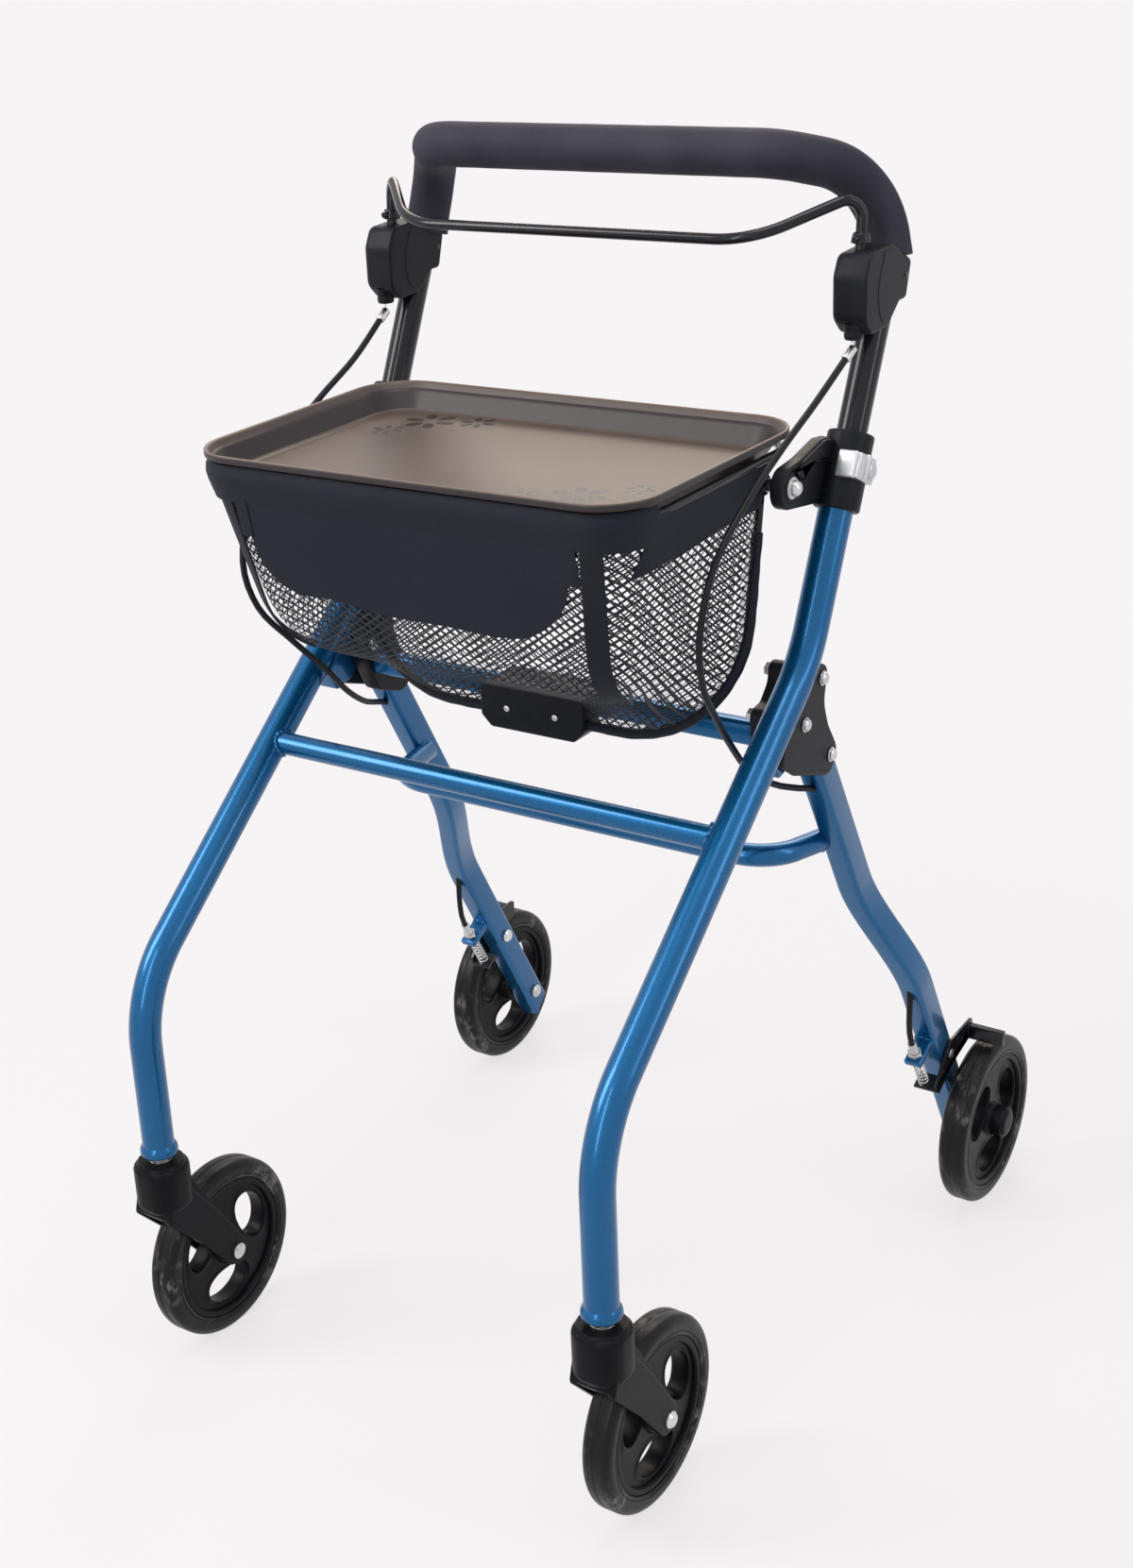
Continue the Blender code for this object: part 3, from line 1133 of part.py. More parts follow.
def make_collar(name, side):
    """The moulded collar at the top of the main tube, with the arm that carries the basket."""
    base = along_handle(side, COLLAR_BOTTOM)
    length = COLLAR_TOP - COLLAR_BOTTOM
    step = MAIN_TUBE_END + GAP - COLLAR_BOTTOM
    wide = MAIN_TUBE_RADIUS + GAP
    narrow = HANDLE_TUBE_RADIUS + GAP
    soft = COLLAR_ROUNDING
    profile = (
        (wide, 0),
        (wide, step),
        (narrow, step),
        (narrow, length),
        (COLLAR_RADIUS - soft, length),
        (COLLAR_RADIUS, length - soft),
        (COLLAR_RADIUS, 0),
    )
    collar = turned("height_collar_" + name, profile, base, HANDLE_UP, COLLAR_STEPS, bored=True)
    root = along_handle(side, ARM_ROOT_ALONG)
    outline = link_outline(BASKET_PIVOT, ARM_EYE_RADIUS, (root.y - 0.006, root.z), ARM_ROOT_RADIUS, 8)
    arm = plate("collar_arm", [outline], COLLAR_ARM_THICKNESS, side * COLLAR_ARM_X)
    cut(arm, rod("arm_space", along_handle(side, 0.09), HANDLE_UP, 0.1, COLLAR_RADIUS - 0.0015, COLLAR_STEPS))
    behind = along_handle(side, ARM_ROOT_ALONG, 0, 0.004)
    reach = 2 * ARM_ROOT_RADIUS
    low = (side * (COLLAR_ARM_X - reach / 2), behind.y, behind.z - reach)
    high = (side * (COLLAR_ARM_X + reach / 2), behind.y + reach, behind.z + reach)
    cut(arm, box("arm_back", low, high))
    join(collar, closed_mesh("collar_arm", arm))
    hole_start = (side * (COLLAR_ARM_INNER_X - COLLAR_ARM_THICKNESS), *BASKET_PIVOT)
    cut(collar, rod("pivot_hole", hole_start, (side, 0, 0), 3 * COLLAR_ARM_THICKNESS, PIVOT_BOLT_RADIUS + BOLT_GAP, HOLE_STEPS))
    stem_place = along_handle(side, BLOCK_BOTTOM + BLOCK_HEIGHT / 2, 0.005, BUTTON_BACK)
    cut(collar, rod("button_hole", stem_place, (side, 0, 0), 0.03, BUTTON_STEM_RADIUS + BOLT_GAP, HOLE_STEPS))
    put(collar, "front_frame", "black_plastic")


def make_clamp_block(name, side):
    """The cast block let into the collar's outer front corner, with its release button."""
    block = box(
        "block",
        (side * BLOCK_INNER, -BLOCK_FRONT, BLOCK_BOTTOM),
        (side * BLOCK_OUT, BLOCK_BACK, BLOCK_BOTTOM + BLOCK_HEIGHT),
    )
    across = Vector((1, 0, 0))
    turn = Matrix((across, HANDLE_BACKWARD, HANDLE_UP)).transposed().to_4x4()
    block.data.transform(Matrix.Translation(along_handle(side, 0)) @ turn)
    block = closed_mesh("clamp_block_" + name, block)
    cut(block, rod("collar_space", along_handle(side, 0.11), HANDLE_UP, 0.07, COLLAR_RADIUS + GAP, COLLAR_STEPS))
    middle = BLOCK_BOTTOM + BLOCK_HEIGHT / 2
    hole_start = along_handle(side, middle, 0.005, BUTTON_BACK)
    cut(block, rod("button_hole", hole_start, (side, 0, 0), 0.03, BUTTON_STEM_RADIUS + BOLT_GAP, HOLE_STEPS))
    put(block, "front_frame", "zinc_block")
    cap = BLOCK_OUT + BUTTON_TRAVEL + GAP
    profile = (
        (0, cap + BUTTON_HEIGHT),
        (BUTTON_RADIUS - 0.0015, cap + BUTTON_HEIGHT),
        (BUTTON_RADIUS, cap + BUTTON_HEIGHT - 0.0015),
        (BUTTON_RADIUS, cap),
        (BUTTON_STEM_RADIUS, cap),
        (BUTTON_STEM_RADIUS, BUTTON_STEM_END),
        (0, BUTTON_STEM_END),
    )
    button = turned("height_button_" + name, profile, along_handle(side, middle, 0, BUTTON_BACK), (side, 0, 0))
    put(button, "height_button_" + name, "steel")


def make_basket_bolt(name, side):
    """The bolt that the basket swings on: washer and domed head outside, spacer and nut inside."""
    start = WIRE_HALF_WIDTH - WIRE_EYE_THICKNESS / 2 - GAP
    eye_end = WIRE_HALF_WIDTH + WIRE_EYE_THICKNESS / 2 + GAP - start
    arm_start = COLLAR_ARM_INNER_X - GAP - start
    arm_end = COLLAR_ARM_OUTER_X + GAP - start
    top = arm_end + PIVOT_WASHER_HEIGHT
    profile = (
        (0, top + PIVOT_HEAD_HEIGHT),
        (PIVOT_HEAD_RADIUS * 0.5, top + PIVOT_HEAD_HEIGHT * 0.93),
        (PIVOT_HEAD_RADIUS, top + PIVOT_HEAD_HEIGHT * 0.3),
        (PIVOT_WASHER_RADIUS, top),
        (PIVOT_WASHER_RADIUS, arm_end),
        (PIVOT_BOLT_RADIUS, arm_end),
        (PIVOT_BOLT_RADIUS, arm_start),
        (PIVOT_SPACER_RADIUS, arm_start),
        (PIVOT_SPACER_RADIUS, eye_end),
        (PIVOT_BOLT_RADIUS, eye_end),
        (PIVOT_BOLT_RADIUS, 0),
        (PIVOT_NUT_RADIUS, 0),
        (PIVOT_NUT_RADIUS, -PIVOT_NUT_HEIGHT),
        (0, -PIVOT_NUT_HEIGHT),
    )
    place = (side * start, *BASKET_PIVOT)
    put(turned("basket_pivot_bolt_" + name, profile, place, (side, 0, 0), BEARING_STEPS), "front_frame", "steel")


def handle_corners(bottom):
    """The corners of the handle tube from one lower end to the other."""
    elbow_up = (HANDLE_ELBOW_Z - UPPER_BEND[1]) / HANDLE_UP.z
    corner = Vector(HANDLE_BAR_CORNER)
    far_corner = Vector((-corner.x, corner.y, corner.z))
    left = [along_handle(1, bottom), along_handle(1, elbow_up), corner]
    right = [far_corner, along_handle(-1, elbow_up), along_handle(-1, bottom)]
    return left + right


def part_above(path, height):
    """The one run of the path above a height, with new ends exactly on it."""
    inside = [k for k, point in enumerate(path) if point.z > height + 0.002]
    first, last = inside[0], inside[-1]
    start = path[first - 1].lerp(path[first], (height - path[first - 1].z) / (path[first] - path[first - 1]).z)
    end = path[last].lerp(path[last + 1], (height - path[last].z) / (path[last + 1] - path[last]).z)
    return [start, *path[first : last + 1], end]


def make_handle():
    """The bent handle tube, and the foam sleeve over its bar and elbows."""
    radii = (ELBOW_RADIUS, BAR_CORNER_RADIUS, BAR_CORNER_RADIUS, ELBOW_RADIUS)
    path = rounded_path(handle_corners(COLLAR_TOP - HANDLE_INSERTED), radii)
    handle = tube("handle_tube", path, HANDLE_TUBE_RADIUS, MEDIUM)
    cut(handle, tube("handle_bore", lengthened(path, 0.005), HANDLE_TUBE_BORE, COARSE))
    put(handle, "handle", "black_paint")
    path = part_above(path, FOAM_END_Z)
    flare = [FOAM_FLARE] + [1] * (len(path) - 2) + [FOAM_FLARE]
    foam = tube("grip_foam", path, FOAM_RADIUS, MEDIUM, flare=flare)
    cut(foam, tube("foam_bore", lengthened(path, 0.005), FOAM_BORE, MEDIUM))
    put(foam, "handle", "foam")


def make_brake_housing(name, side):
    """The moulded housing clamped on the handle tube, slotted for the brake bar."""
    x = side * HOUSING_X
    housing = plate("brake_housing_" + name, [rounded_outline(HOUSING_CORNERS)], HOUSING_WIDTH, x)
    clamp_length = HOUSING_CLAMP_TOP - HOUSING_CLAMP_BOTTOM
    clamp_base = along_handle(side, HOUSING_CLAMP_BOTTOM)
    nub_top = nub_bottom(side)
    join(
        housing,
        rod("clamp", clamp_base, HANDLE_UP, clamp_length, HOUSING_CLAMP_RADIUS, COLLAR_STEPS),
        rod("nub", nub_top, (0, 0, 1), NUB_LENGTH, NUB_RADIUS, BOLT_STEPS),
    )
    handle_start = along_handle(side, HOUSING_CLAMP_BOTTOM - 0.05)
    cut(housing, rod("tube_space", handle_start, HANDLE_UP, 0.12, HANDLE_TUBE_RADIUS + GAP, COLLAR_STEPS))
    slot_x = side * FRAME_HALF_WIDTH
    cut(housing, plate("bar_slot", [HOUSING_SLOT_CORNERS], HOUSING_SLOT_WIDTH, slot_x))
    pin = HOUSING_PIN_REACH + 2 * GAP
    pin_start = (slot_x - pin, *LEVER_PIVOT)
    cut(housing, rod("pin_hole", pin_start, (1, 0, 0), 2 * pin, LEVER_PIN_RADIUS + RUNNING_GAP, BEARING_STEPS))
    nub_start = nub_bottom(side) - Vector((0, 0, 0.001))
    cut(housing, rod("wire_hole", nub_start, (0, 0, 1), NUB_BORE_LENGTH + 0.001, NUB_BORE_RADIUS, HOLE_STEPS))
    put(housing, "handle", "black_plastic")


def make_brake_bar():
    """One bent rod across the handle, with an eye and a pin at each end."""
    elbow, corner = Vector(LEVER_ELBOW), Vector(LEVER_CORNER)
    start = Vector((FRAME_HALF_WIDTH, *LEVER_PIVOT))
    left = [start, elbow, corner]
    right = [Vector((-point.x, point.y, point.z)) for point in reversed(left)]
    radii = (LEVER_ELBOW_RADIUS, LEVER_CORNER_RADIUS, LEVER_CORNER_RADIUS, LEVER_ELBOW_RADIUS)
    bar = tube("brake_bar", rounded_path(left + right, radii), LEVER_RADIUS, COARSE)
    for _, side in SIDES:
        x = side * FRAME_HALF_WIDTH
        eye_half = HOUSING_SLOT_WIDTH / 2 - 2 * GAP
        eye_start = (x - eye_half, *LEVER_PIVOT)
        pin_start = (x - HOUSING_PIN_REACH, *LEVER_PIVOT)
        join(
            bar,
            rod("eye", eye_start, (1, 0, 0), 2 * eye_half, LEVER_EYE_RADIUS),
            rod("pin", pin_start, (1, 0, 0), 2 * HOUSING_PIN_REACH, LEVER_PIN_RADIUS, BEARING_STEPS),
        )
    put(bar, "brake_lever", "black_paint")


def loop_path(inset, z, corner_radius, per_corner=5):
    """A closed round-cornered loop inside the tray's outer edge."""
    half_depth = (TRAY_BACK - TRAY_FRONT) / 2 - inset
    middle = (TRAY_BACK + TRAY_FRONT) / 2
    flat = round_rectangle(TRAY_HALF_WIDTH - inset, half_depth, corner_radius, per_corner)
    return [Vector((a, b + middle, z)) for a, b in flat]


def make_tray():
    """A pressed tray: flat floor, sloped sides and a lip that turns down."""
    rings = [loop_path(0, TRAY_RINGS[-1][1] - TRAY_LIP_DROP, TRAY_CORNER_RADIUS)]
    for inset, z in reversed(TRAY_RINGS):
        rings.append(loop_path(inset, z, TRAY_CORNER_RADIUS - inset))
    tray = loft("tray", rings, open_end=True)
    thick = tray.modifiers.new("wall", "SOLIDIFY")
    thick.thickness = TRAY_WALL
    thick.offset = -1
    thick.use_even_offset = True
    put(closed_mesh("tray", tray), "tray", "tray_plastic")


def make_basket_wire():
    """The closed loop that the tray sits on, and the bent wire that carries the bag's back and bottom."""
    loop = loop_path(WIRE_LOOP_INSET, WIRE_LOOP_Z, TRAY_CORNER_RADIUS - WIRE_LOOP_INSET)
    wire = tube("basket_wire", loop, WIRE_RADIUS, COARSE, closed=True)
    ends = []
    for _, side in SIDES:
        pivot = Vector((side * WIRE_HALF_WIDTH, *BASKET_PIVOT))
        top = Vector((side * (TRAY_HALF_WIDTH - WIRE_LOOP_INSET), BASKET_PIVOT[0], WIRE_LOOP_Z))
        bend = pivot + Vector((0, 0, WIRE_TOP_BEND_ABOVE_PIVOT))
        bottom = Vector((side * WIRE_HALF_WIDTH, *WIRE_BOTTOM))
        ends.append([top, bend, bottom])
    radii = (WIRE_TOP_BEND_RADIUS, WIRE_BEND_RADIUS)
    path = rounded_path(ends[0] + ends[1][::-1], radii + radii[::-1])
    join(wire, tube("hanging_wire", path, WIRE_RADIUS, COARSE))
    for _, side in SIDES:
        eye_start = (side * WIRE_HALF_WIDTH - WIRE_EYE_THICKNESS / 2, *BASKET_PIVOT)
        join(wire, rod("eye", eye_start, (1, 0, 0), WIRE_EYE_THICKNESS, WIRE_EYE_RADIUS))
    for _, side in SIDES:
        hole_start = (side * WIRE_HALF_WIDTH - 0.01, *BASKET_PIVOT)
        cut(wire, rod("eye_hole", hole_start, (1, 0, 0), 0.02, PIVOT_BOLT_RADIUS + RUNNING_GAP, BEARING_STEPS))
    put(wire, "basket", "black_paint")


def spread_along(path, count):
    """Even steps along a path of points."""
    points = np.array([tuple(point) for point in path])
    run = np.concatenate(([0], np.cumsum(np.linalg.norm(np.diff(points, axis=0), axis=1))))
    wanted = np.linspace(0, run[-1], count)
    return np.column_stack([np.interp(wanted, run, points[:, axis]) for axis in range(3)])


def make_bag():
    """A scoop-shaped bag: each ring joins a point of its front corner seam to one of its back edge."""
    half_back = WIRE_HALF_WIDTH - BAG_INSET
    bottom_z = BRACKET_FRONT_TOP + BAG_BOTTOM_GAP
    front = rounded_path((BAG_FRONT_TOP, BAG_FRONT_CORNER, BAG_FRONT_BOTTOM), (BAG_FRONT_BEND,))
    back = rounded_path(
        (
            (BAG_FRONT_TOP[0], *BAG_BACK_TOP),
            (half_back, WIRE_BOTTOM[0] - 0.0005, bottom_z),
            (BAG_BOTTOM_HALF_WIDTH, WIRE_BOTTOM[0] - 0.0005, bottom_z),
        ),
        (WIRE_BEND_RADIUS - BAG_INSET,),
    )
    rings = []
    for ahead, behind in zip(spread_along(front, BAG_STATIONS), spread_along(back, BAG_STATIONS)):
        middle = (ahead + behind) / 2
        half_depth = (behind[1] - ahead[1]) / 2
        flat = round_rectangle(middle[0], half_depth, min(BAG_CORNER_RADIUS, half_depth * 0.8))
        share = flat[:, 1] / half_depth
        spread = 1 + share * (behind[0] - ahead[0]) / 2 / middle[0]
        height = middle[2] + share * (behind[2] - ahead[2]) / 2
        rings.append(np.column_stack((flat[:, 0] * spread, flat[:, 1] + middle[1], height)))
    bag = loft("basket_bag", rings, open_end=True)
    thick = bag.modifiers.new("wall", "SOLIDIFY")
    thick.thickness = BAG_WALL
    thick.offset = 1
    put(closed_mesh("basket_bag", bag), "basket", "bag_fabric")


def make_bracket():
    """The moulded hook that holds the basket's bottom wire and clips over the upper cross tube."""
    half = BRACKET_HALF_WIDTH
    bracket = box("hook_bracket", (-half, BRACKET_FRONT, BRACKET_BOTTOM), (half, BRACKET_BACK, BRACKET_TOP))
    cross_y, cross_z = UPPER_CROSS_PLACE
    inner_y = cross_y - UPPER_CROSS_DEPTH / 2 - GAP
    over = cross_z + UPPER_CROSS_HEIGHT / 2 + HOOK_GAP
    under = cross_z - UPPER_CROSS_HEIGHT / 2 - HOOK_LOWER_GAP
    reach = half + 0.01
    cut(
        bracket,
        box("hook_space", (-reach, inner_y, under), (reach, BRACKET_BACK + 0.01, over)),
        box("lower_back", (-reach, BRACKET_LOWER_BACK, BRACKET_BOTTOM - 0.01), (reach, BRACKET_BACK + 0.01, over - 0.001)),
        box("bag_space", (-reach, BRACKET_FRONT - 0.01, BRACKET_FRONT_TOP), (reach, BRACKET_SHELF_Y, BRACKET_TOP + 0.01)),
        rod("wire_space", (-reach, *WIRE_BOTTOM), (1, 0, 0), 2 * reach, WIRE_RADIUS + 2 * GAP),
    )
    for _, side in SIDES:
        size = BRACKET_CHAMFER * math.sqrt(2)
        corner = box("chamfer", (-size / 2, -0.05, -size / 2), (size / 2, 0.05, size / 2))
        corner.rotation_euler = (0, math.radians(45), 0)
        corner.location = (side * half, (BRACKET_FRONT + BRACKET_BACK) / 2, BRACKET_BOTTOM)
        cut(bracket, corner)
    put(bracket, "basket", "black_plastic")


clear_scene()
parts = new_collection("indoor_rollator")
helpers = new_collection("cutters")
finishes = {name: make_finish(name) for name in FINISHES}
carriers = make_carriers()

for side_name, side_sign in SIDES:
    make_main_tube(side_name, side_sign)
    make_hinge(side_name, side_sign)
    make_caster_stem(side_name, side_sign)
    make_caster_fork(side_name, side_sign)
    make_caster_wheel(side_name, side_sign)
    make_rear_leg(side_name, side_sign)
    make_rear_wheel(side_name, side_sign)
    make_rear_bolts(side_name, side_sign)
    make_brake_arm(side_name, side_sign)
    make_adjuster(side_name, side_sign)
    make_spring(side_name, side_sign)
    make_cable(side_name, side_sign)
    make_collar(side_name, side_sign)
    make_clamp_block(side_name, side_sign)
    make_basket_bolt(side_name, side_sign)
    make_brake_housing(side_name, side_sign)
make_cross_tubes()
make_rear_cross_tube()
make_handle()
make_brake_bar()
make_tray()
make_basket_wire()
make_bag()
make_bracket()
for helper in helpers.objects:
    helper.hide_set(True)
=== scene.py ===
"""The looks of the indoor rollator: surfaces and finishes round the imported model, and its studio.

Shapes are worked out in the source's own places: x runs across, y back from the line of the caster
stems and z up from the floor, all in metres. Each piece is moved forward by MIDDLE_Y when its mesh
is made.
"""

import math

import bmesh
import bpy
import numpy as np
from mathutils import Matrix, Vector


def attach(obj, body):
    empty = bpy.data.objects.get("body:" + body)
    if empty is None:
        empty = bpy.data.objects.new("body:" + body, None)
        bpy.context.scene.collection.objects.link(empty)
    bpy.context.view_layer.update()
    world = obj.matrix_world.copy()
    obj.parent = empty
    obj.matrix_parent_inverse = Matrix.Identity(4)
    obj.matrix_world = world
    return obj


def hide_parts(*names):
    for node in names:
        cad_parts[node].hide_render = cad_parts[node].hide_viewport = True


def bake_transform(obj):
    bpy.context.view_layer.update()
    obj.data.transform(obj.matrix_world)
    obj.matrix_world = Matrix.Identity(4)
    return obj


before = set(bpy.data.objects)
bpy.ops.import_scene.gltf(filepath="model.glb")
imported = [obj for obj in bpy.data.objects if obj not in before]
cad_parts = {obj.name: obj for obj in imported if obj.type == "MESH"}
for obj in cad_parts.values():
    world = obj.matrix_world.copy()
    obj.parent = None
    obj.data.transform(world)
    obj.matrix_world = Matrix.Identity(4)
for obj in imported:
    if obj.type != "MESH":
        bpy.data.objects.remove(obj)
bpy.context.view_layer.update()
scene = bpy.context.scene
SIDES = (("left", 1), ("right", -1))

# Sizes repeated from the part's source
HALF_WIDTH = 0.205
TUBE_RADIUS = 0.0127
LOWER_BEND = (0.0, 0.338)
UPPER_BEND = (0.299, 0.573)
HANDLE_LEAN = math.radians(25.64)
TUBE_FOOT = 0.195
TUBE_END = 0.157
CROSS_RADIUS = 0.009
FRONT_CROSS_Y = 0.181
LEG_PIVOT = (0.3205, 0.497)
LEG_LEAN = math.radians(28.57)
LEG_TOP_X = 0.201
LEG_FOOT_X = 0.228
LEG_WIDTH = 0.020
LEG_DEPTH = 0.025
STEP_START = 0.156
STEP_END = 0.293
WHEEL_RADIUS = 0.075
REAR_WHEEL_X = 0.2555
CASTER_TRAIL = 0.056
CABLE_OFFSET = 0.0304
LUG_PLACE = 0.355
ADJUSTER_TOP = 0.334
ADJUSTER_END = 0.364
TAB_PLACE = 0.3948
CABLE_RADIUS = 0.0025
CABLE_ROUTE = (
    (0.2030, 0.3200, 0.7600),
    (0.2020, 0.2700, 0.7380),
    (0.2010, 0.2180, 0.7110),
    (0.2000, 0.1760, 0.6780),
    (0.1990, 0.1590, 0.6350),
    (0.1960, 0.1680, 0.5980),
    (0.1900, 0.1980, 0.5620),
    (0.1850, 0.2280, 0.5300),
    (0.1850, 0.2550, 0.5010),
    (0.1910, 0.2840, 0.4810),
    (0.1980, 0.3060, 0.4715),
)
CABLE_LEG_ROUTE = ((0.0115, 0.031), (0.0040, 0.042), (0.0, 0.060))
CABLE_LEG_LAST = 0.252
CABLE_LEG_STEPS = 5
CABLE_EXIT_ROUTE = ((0.0045, 0.272), (0.0135, 0.291), (0.0235, 0.309), (0.0290, 0.323))
NUB_BOTTOM = (0.2065, 0.370, 0.7940)
BASKET_PIVOT = (0.292, 0.705)
TRAY_HALF_WIDTH = 0.1875
TRAY_FRONT = 0.090
TRAY_BACK = 0.342
TRAY_CORNER = 0.042
WIRE_RADIUS = 0.003
WIRE_INSET = 0.0065
WIRE_LOOP_Z = 0.7252
WIRE_HALF_WIDTH = 0.1755
WIRE_BOTTOM = (0.256, 0.512)
COLLAR_PLACE = 0.1131
COLLAR_LENGTH = 0.0563
HANDLE_OVERLAP = 0.090
LEVER_PIVOT = (0.380, 0.824)
HINGE_GAP = 0.0004
SEAT_GAP = 0.0003
OUTER_SHELL = 0.0050
INNER_SHELL = 0.0150

# Places that follow
LEG_TO_AXLE = (LEG_PIVOT[1] - WHEEL_RADIUS) / math.cos(LEG_LEAN)
REAR_AXLE = (LEG_PIVOT[0] + LEG_TO_AXLE * math.sin(LEG_LEAN), WHEEL_RADIUS)
MIDDLE_Y = (REAR_AXLE[0] + WHEEL_RADIUS - 0.020) / 2
HANDLE_UP = np.array((0, math.sin(HANDLE_LEAN), math.cos(HANDLE_LEAN)))
HANDLE_BACK = np.array((0, math.cos(HANDLE_LEAN), -math.sin(HANDLE_LEAN)))
LEG_DOWN = np.array((0, math.sin(LEG_LEAN), -math.cos(LEG_LEAN)))
LEG_FORWARD = np.array((0, -math.cos(LEG_LEAN), -math.sin(LEG_LEAN)))
ACROSS = np.array((1.0, 0, 0))
UP = np.array((0, 0, 1.0))
BACK = np.array((0, 1.0, 0))
MIRROR = np.array((-1, 1, 1))


# Shapes


def unit(vectors):
    """Each vector divided by its length."""
    return vectors / np.linalg.norm(vectors, axis=-1, keepdims=True)


def bent(corners, radii, step=4.0):
    """A path of straight runs whose corners turn on arcs: centre plus radius times a cosine and a sine."""
    corners = np.array(corners, dtype=float)
    path = [corners[:1]]
    for before, corner, after, radius in zip(corners, corners[1:], corners[2:], radii):
        back, ahead = unit(before - corner), unit(after - corner)
        half = math.acos(float(back @ ahead)) / 2
        centre = corner + unit(back + ahead) * radius / math.sin(half)
        start = corner + back * radius / math.tan(half) - centre
        side = -back * radius
        turn = math.pi - 2 * half
        angles = np.linspace(0, turn, max(3, math.ceil(math.degrees(turn) / step) + 1))[:, None]
        path.append(centre + start * np.cos(angles) + side * np.sin(angles))
    path.append(corners[-1:])
    return np.concatenate(path)


def both_sides(points):
    """Places on one side, then the same ones mirrored to the other side and in reverse."""
    points = np.array(points, dtype=float)
    return np.concatenate((points, points[::-1] * MIRROR))


def smooth_route(points, spacing):
    """Even steps on the curve through the points: cubic pieces with slopes from the neighbouring chords."""
    points = np.array(points, dtype=float)
    padded = np.concatenate((2 * points[:1] - points[1:2], points, 2 * points[-1:] - points[-2:-1]))
    p0, p1, p2, p3 = (padded[k : len(padded) - 3 + k, None] for k in range(4))
    chords = (p1 - p0, p2 - p1, p3 - p2)
    d0, d1, d2 = (np.sqrt(np.linalg.norm(chord, axis=2, keepdims=True)) for chord in chords)
    first = (p1 - p0) / d0 - (p2 - p0) / (d0 + d1) + (p2 - p1) / d1
    last = (p2 - p1) / d1 - (p3 - p1) / (d1 + d2) + (p3 - p2) / d2
    t = np.linspace(0, 1, 24, endpoint=False)[None, :, None]
    curve = (2 * t**3 - 3 * t**2 + 1) * p1 + (t**3 - 2 * t**2 + t) * d1 * first
    curve = curve + (3 * t**2 - 2 * t**3) * p2 + (t**3 - t**2) * d1 * last
    return even_steps(np.concatenate((curve.reshape(-1, 3), points[-1:])), spacing=spacing)


def even_steps(points, count=None, spacing=None):
    """Points at even distances along a path, by interpolation over its running length."""
    points = np.asarray(points, dtype=float)
    run = np.concatenate(([0], np.cumsum(np.linalg.norm(np.diff(points, axis=0), axis=1))))
    wanted = np.linspace(0, run[-1], count or round(run[-1] / spacing) + 1)
    return np.column_stack([np.interp(wanted, run, points[:, axis]) for axis in range(points.shape[1])])


def ring_section(radius, steps):
    """A circle of pairs: radius times cosine and sine, with its first point repeated."""
    angles = np.linspace(0, math.tau, steps + 1)
    return radius * np.column_stack((np.cos(angles), np.sin(angles)))


def oblong_section(half_a, half_b, corner, per_corner=7):
    """A rectangle with round corners as pairs, with its first point repeated."""
    quarter = np.linspace(0, math.pi / 2, per_corner)
    turns = np.arange(4)[:, None] * math.pi / 2 + quarter
    signs = np.array(((1, 1), (-1, 1), (-1, -1), (1, -1)))
    a = signs[:, :1] * (half_a - corner) + corner * np.cos(turns)
    b = signs[:, 1:] * (half_b - corner) + corner * np.sin(turns)
    flat = np.column_stack((a.ravel(), b.ravel()))
    return np.concatenate((flat, flat[:1]))


def heading(path, closed=False):
    """The direction of travel at each point, from its neighbours."""
    if closed:
        return unit(np.roll(path, -1, axis=0) - np.roll(path, 1, axis=0))
    return unit(np.gradient(path, axis=0))


def carried(path, section, reference, sizes=None, capped=True, closed=False):
    """The section carried along the path, squared to it; reference fixes the section's first axis."""
    if closed:
        path = np.concatenate((path, path[:1]))
        ahead = heading(path[:-1], True)
        ahead = np.concatenate((ahead, ahead[:1]))
    else:
        ahead = heading(path)
    first = unit(reference - (ahead @ reference)[:, None] * ahead)
    second = np.cross(ahead, first)
    sizes = np.ones(len(path)) if sizes is None else np.asarray(sizes)
    grid = first[:, None] * section[None, :, :1] + second[:, None] * section[None, :, 1:]
    grid = path[:, None] + grid * sizes[:, None, None]
    return with_caps(grid) if capped and not closed else grid


def with_caps(grid):
    """The grid with both ends drawn together in their middles."""
    first, last = (np.broadcast_to(row[:-1].mean(axis=0), (1, *row.shape)) for row in (grid[0], grid[-1]))
    return np.concatenate((first, grid, last))


def spokes_round(axis, steps):
    """Unit vectors square to the axis at even angles, the last one as the first."""
    helper = BACK if abs(axis[1]) < 0.8 else ACROSS
    first = unit(np.cross(axis, helper))
    second = np.cross(axis, first)
    angles = np.linspace(0, math.tau, steps + 1)
    return np.cos(angles)[:, None] * first + np.sin(angles)[:, None] * second


def turned(profile, base, axis, steps):
    """Pairs of radius and height swept round an axis."""
    profile = np.array(profile, dtype=float)
    axis = unit(np.array(axis, dtype=float))
    spokes = spokes_round(axis, steps)
    return np.array(base) + profile[:, :1, None] * spokes[None] + profile[:, 1:, None] * axis


def disc(radius, low, high, edge, base, axis, steps):
    """A plain round piece: two flat faces and a straight side, with a small arc between them."""
    profile = ((0, low), (radius, low), (radius, high), (0, high))
    return turned(softened_profile(profile, edge) if edge else profile, base, axis, steps)


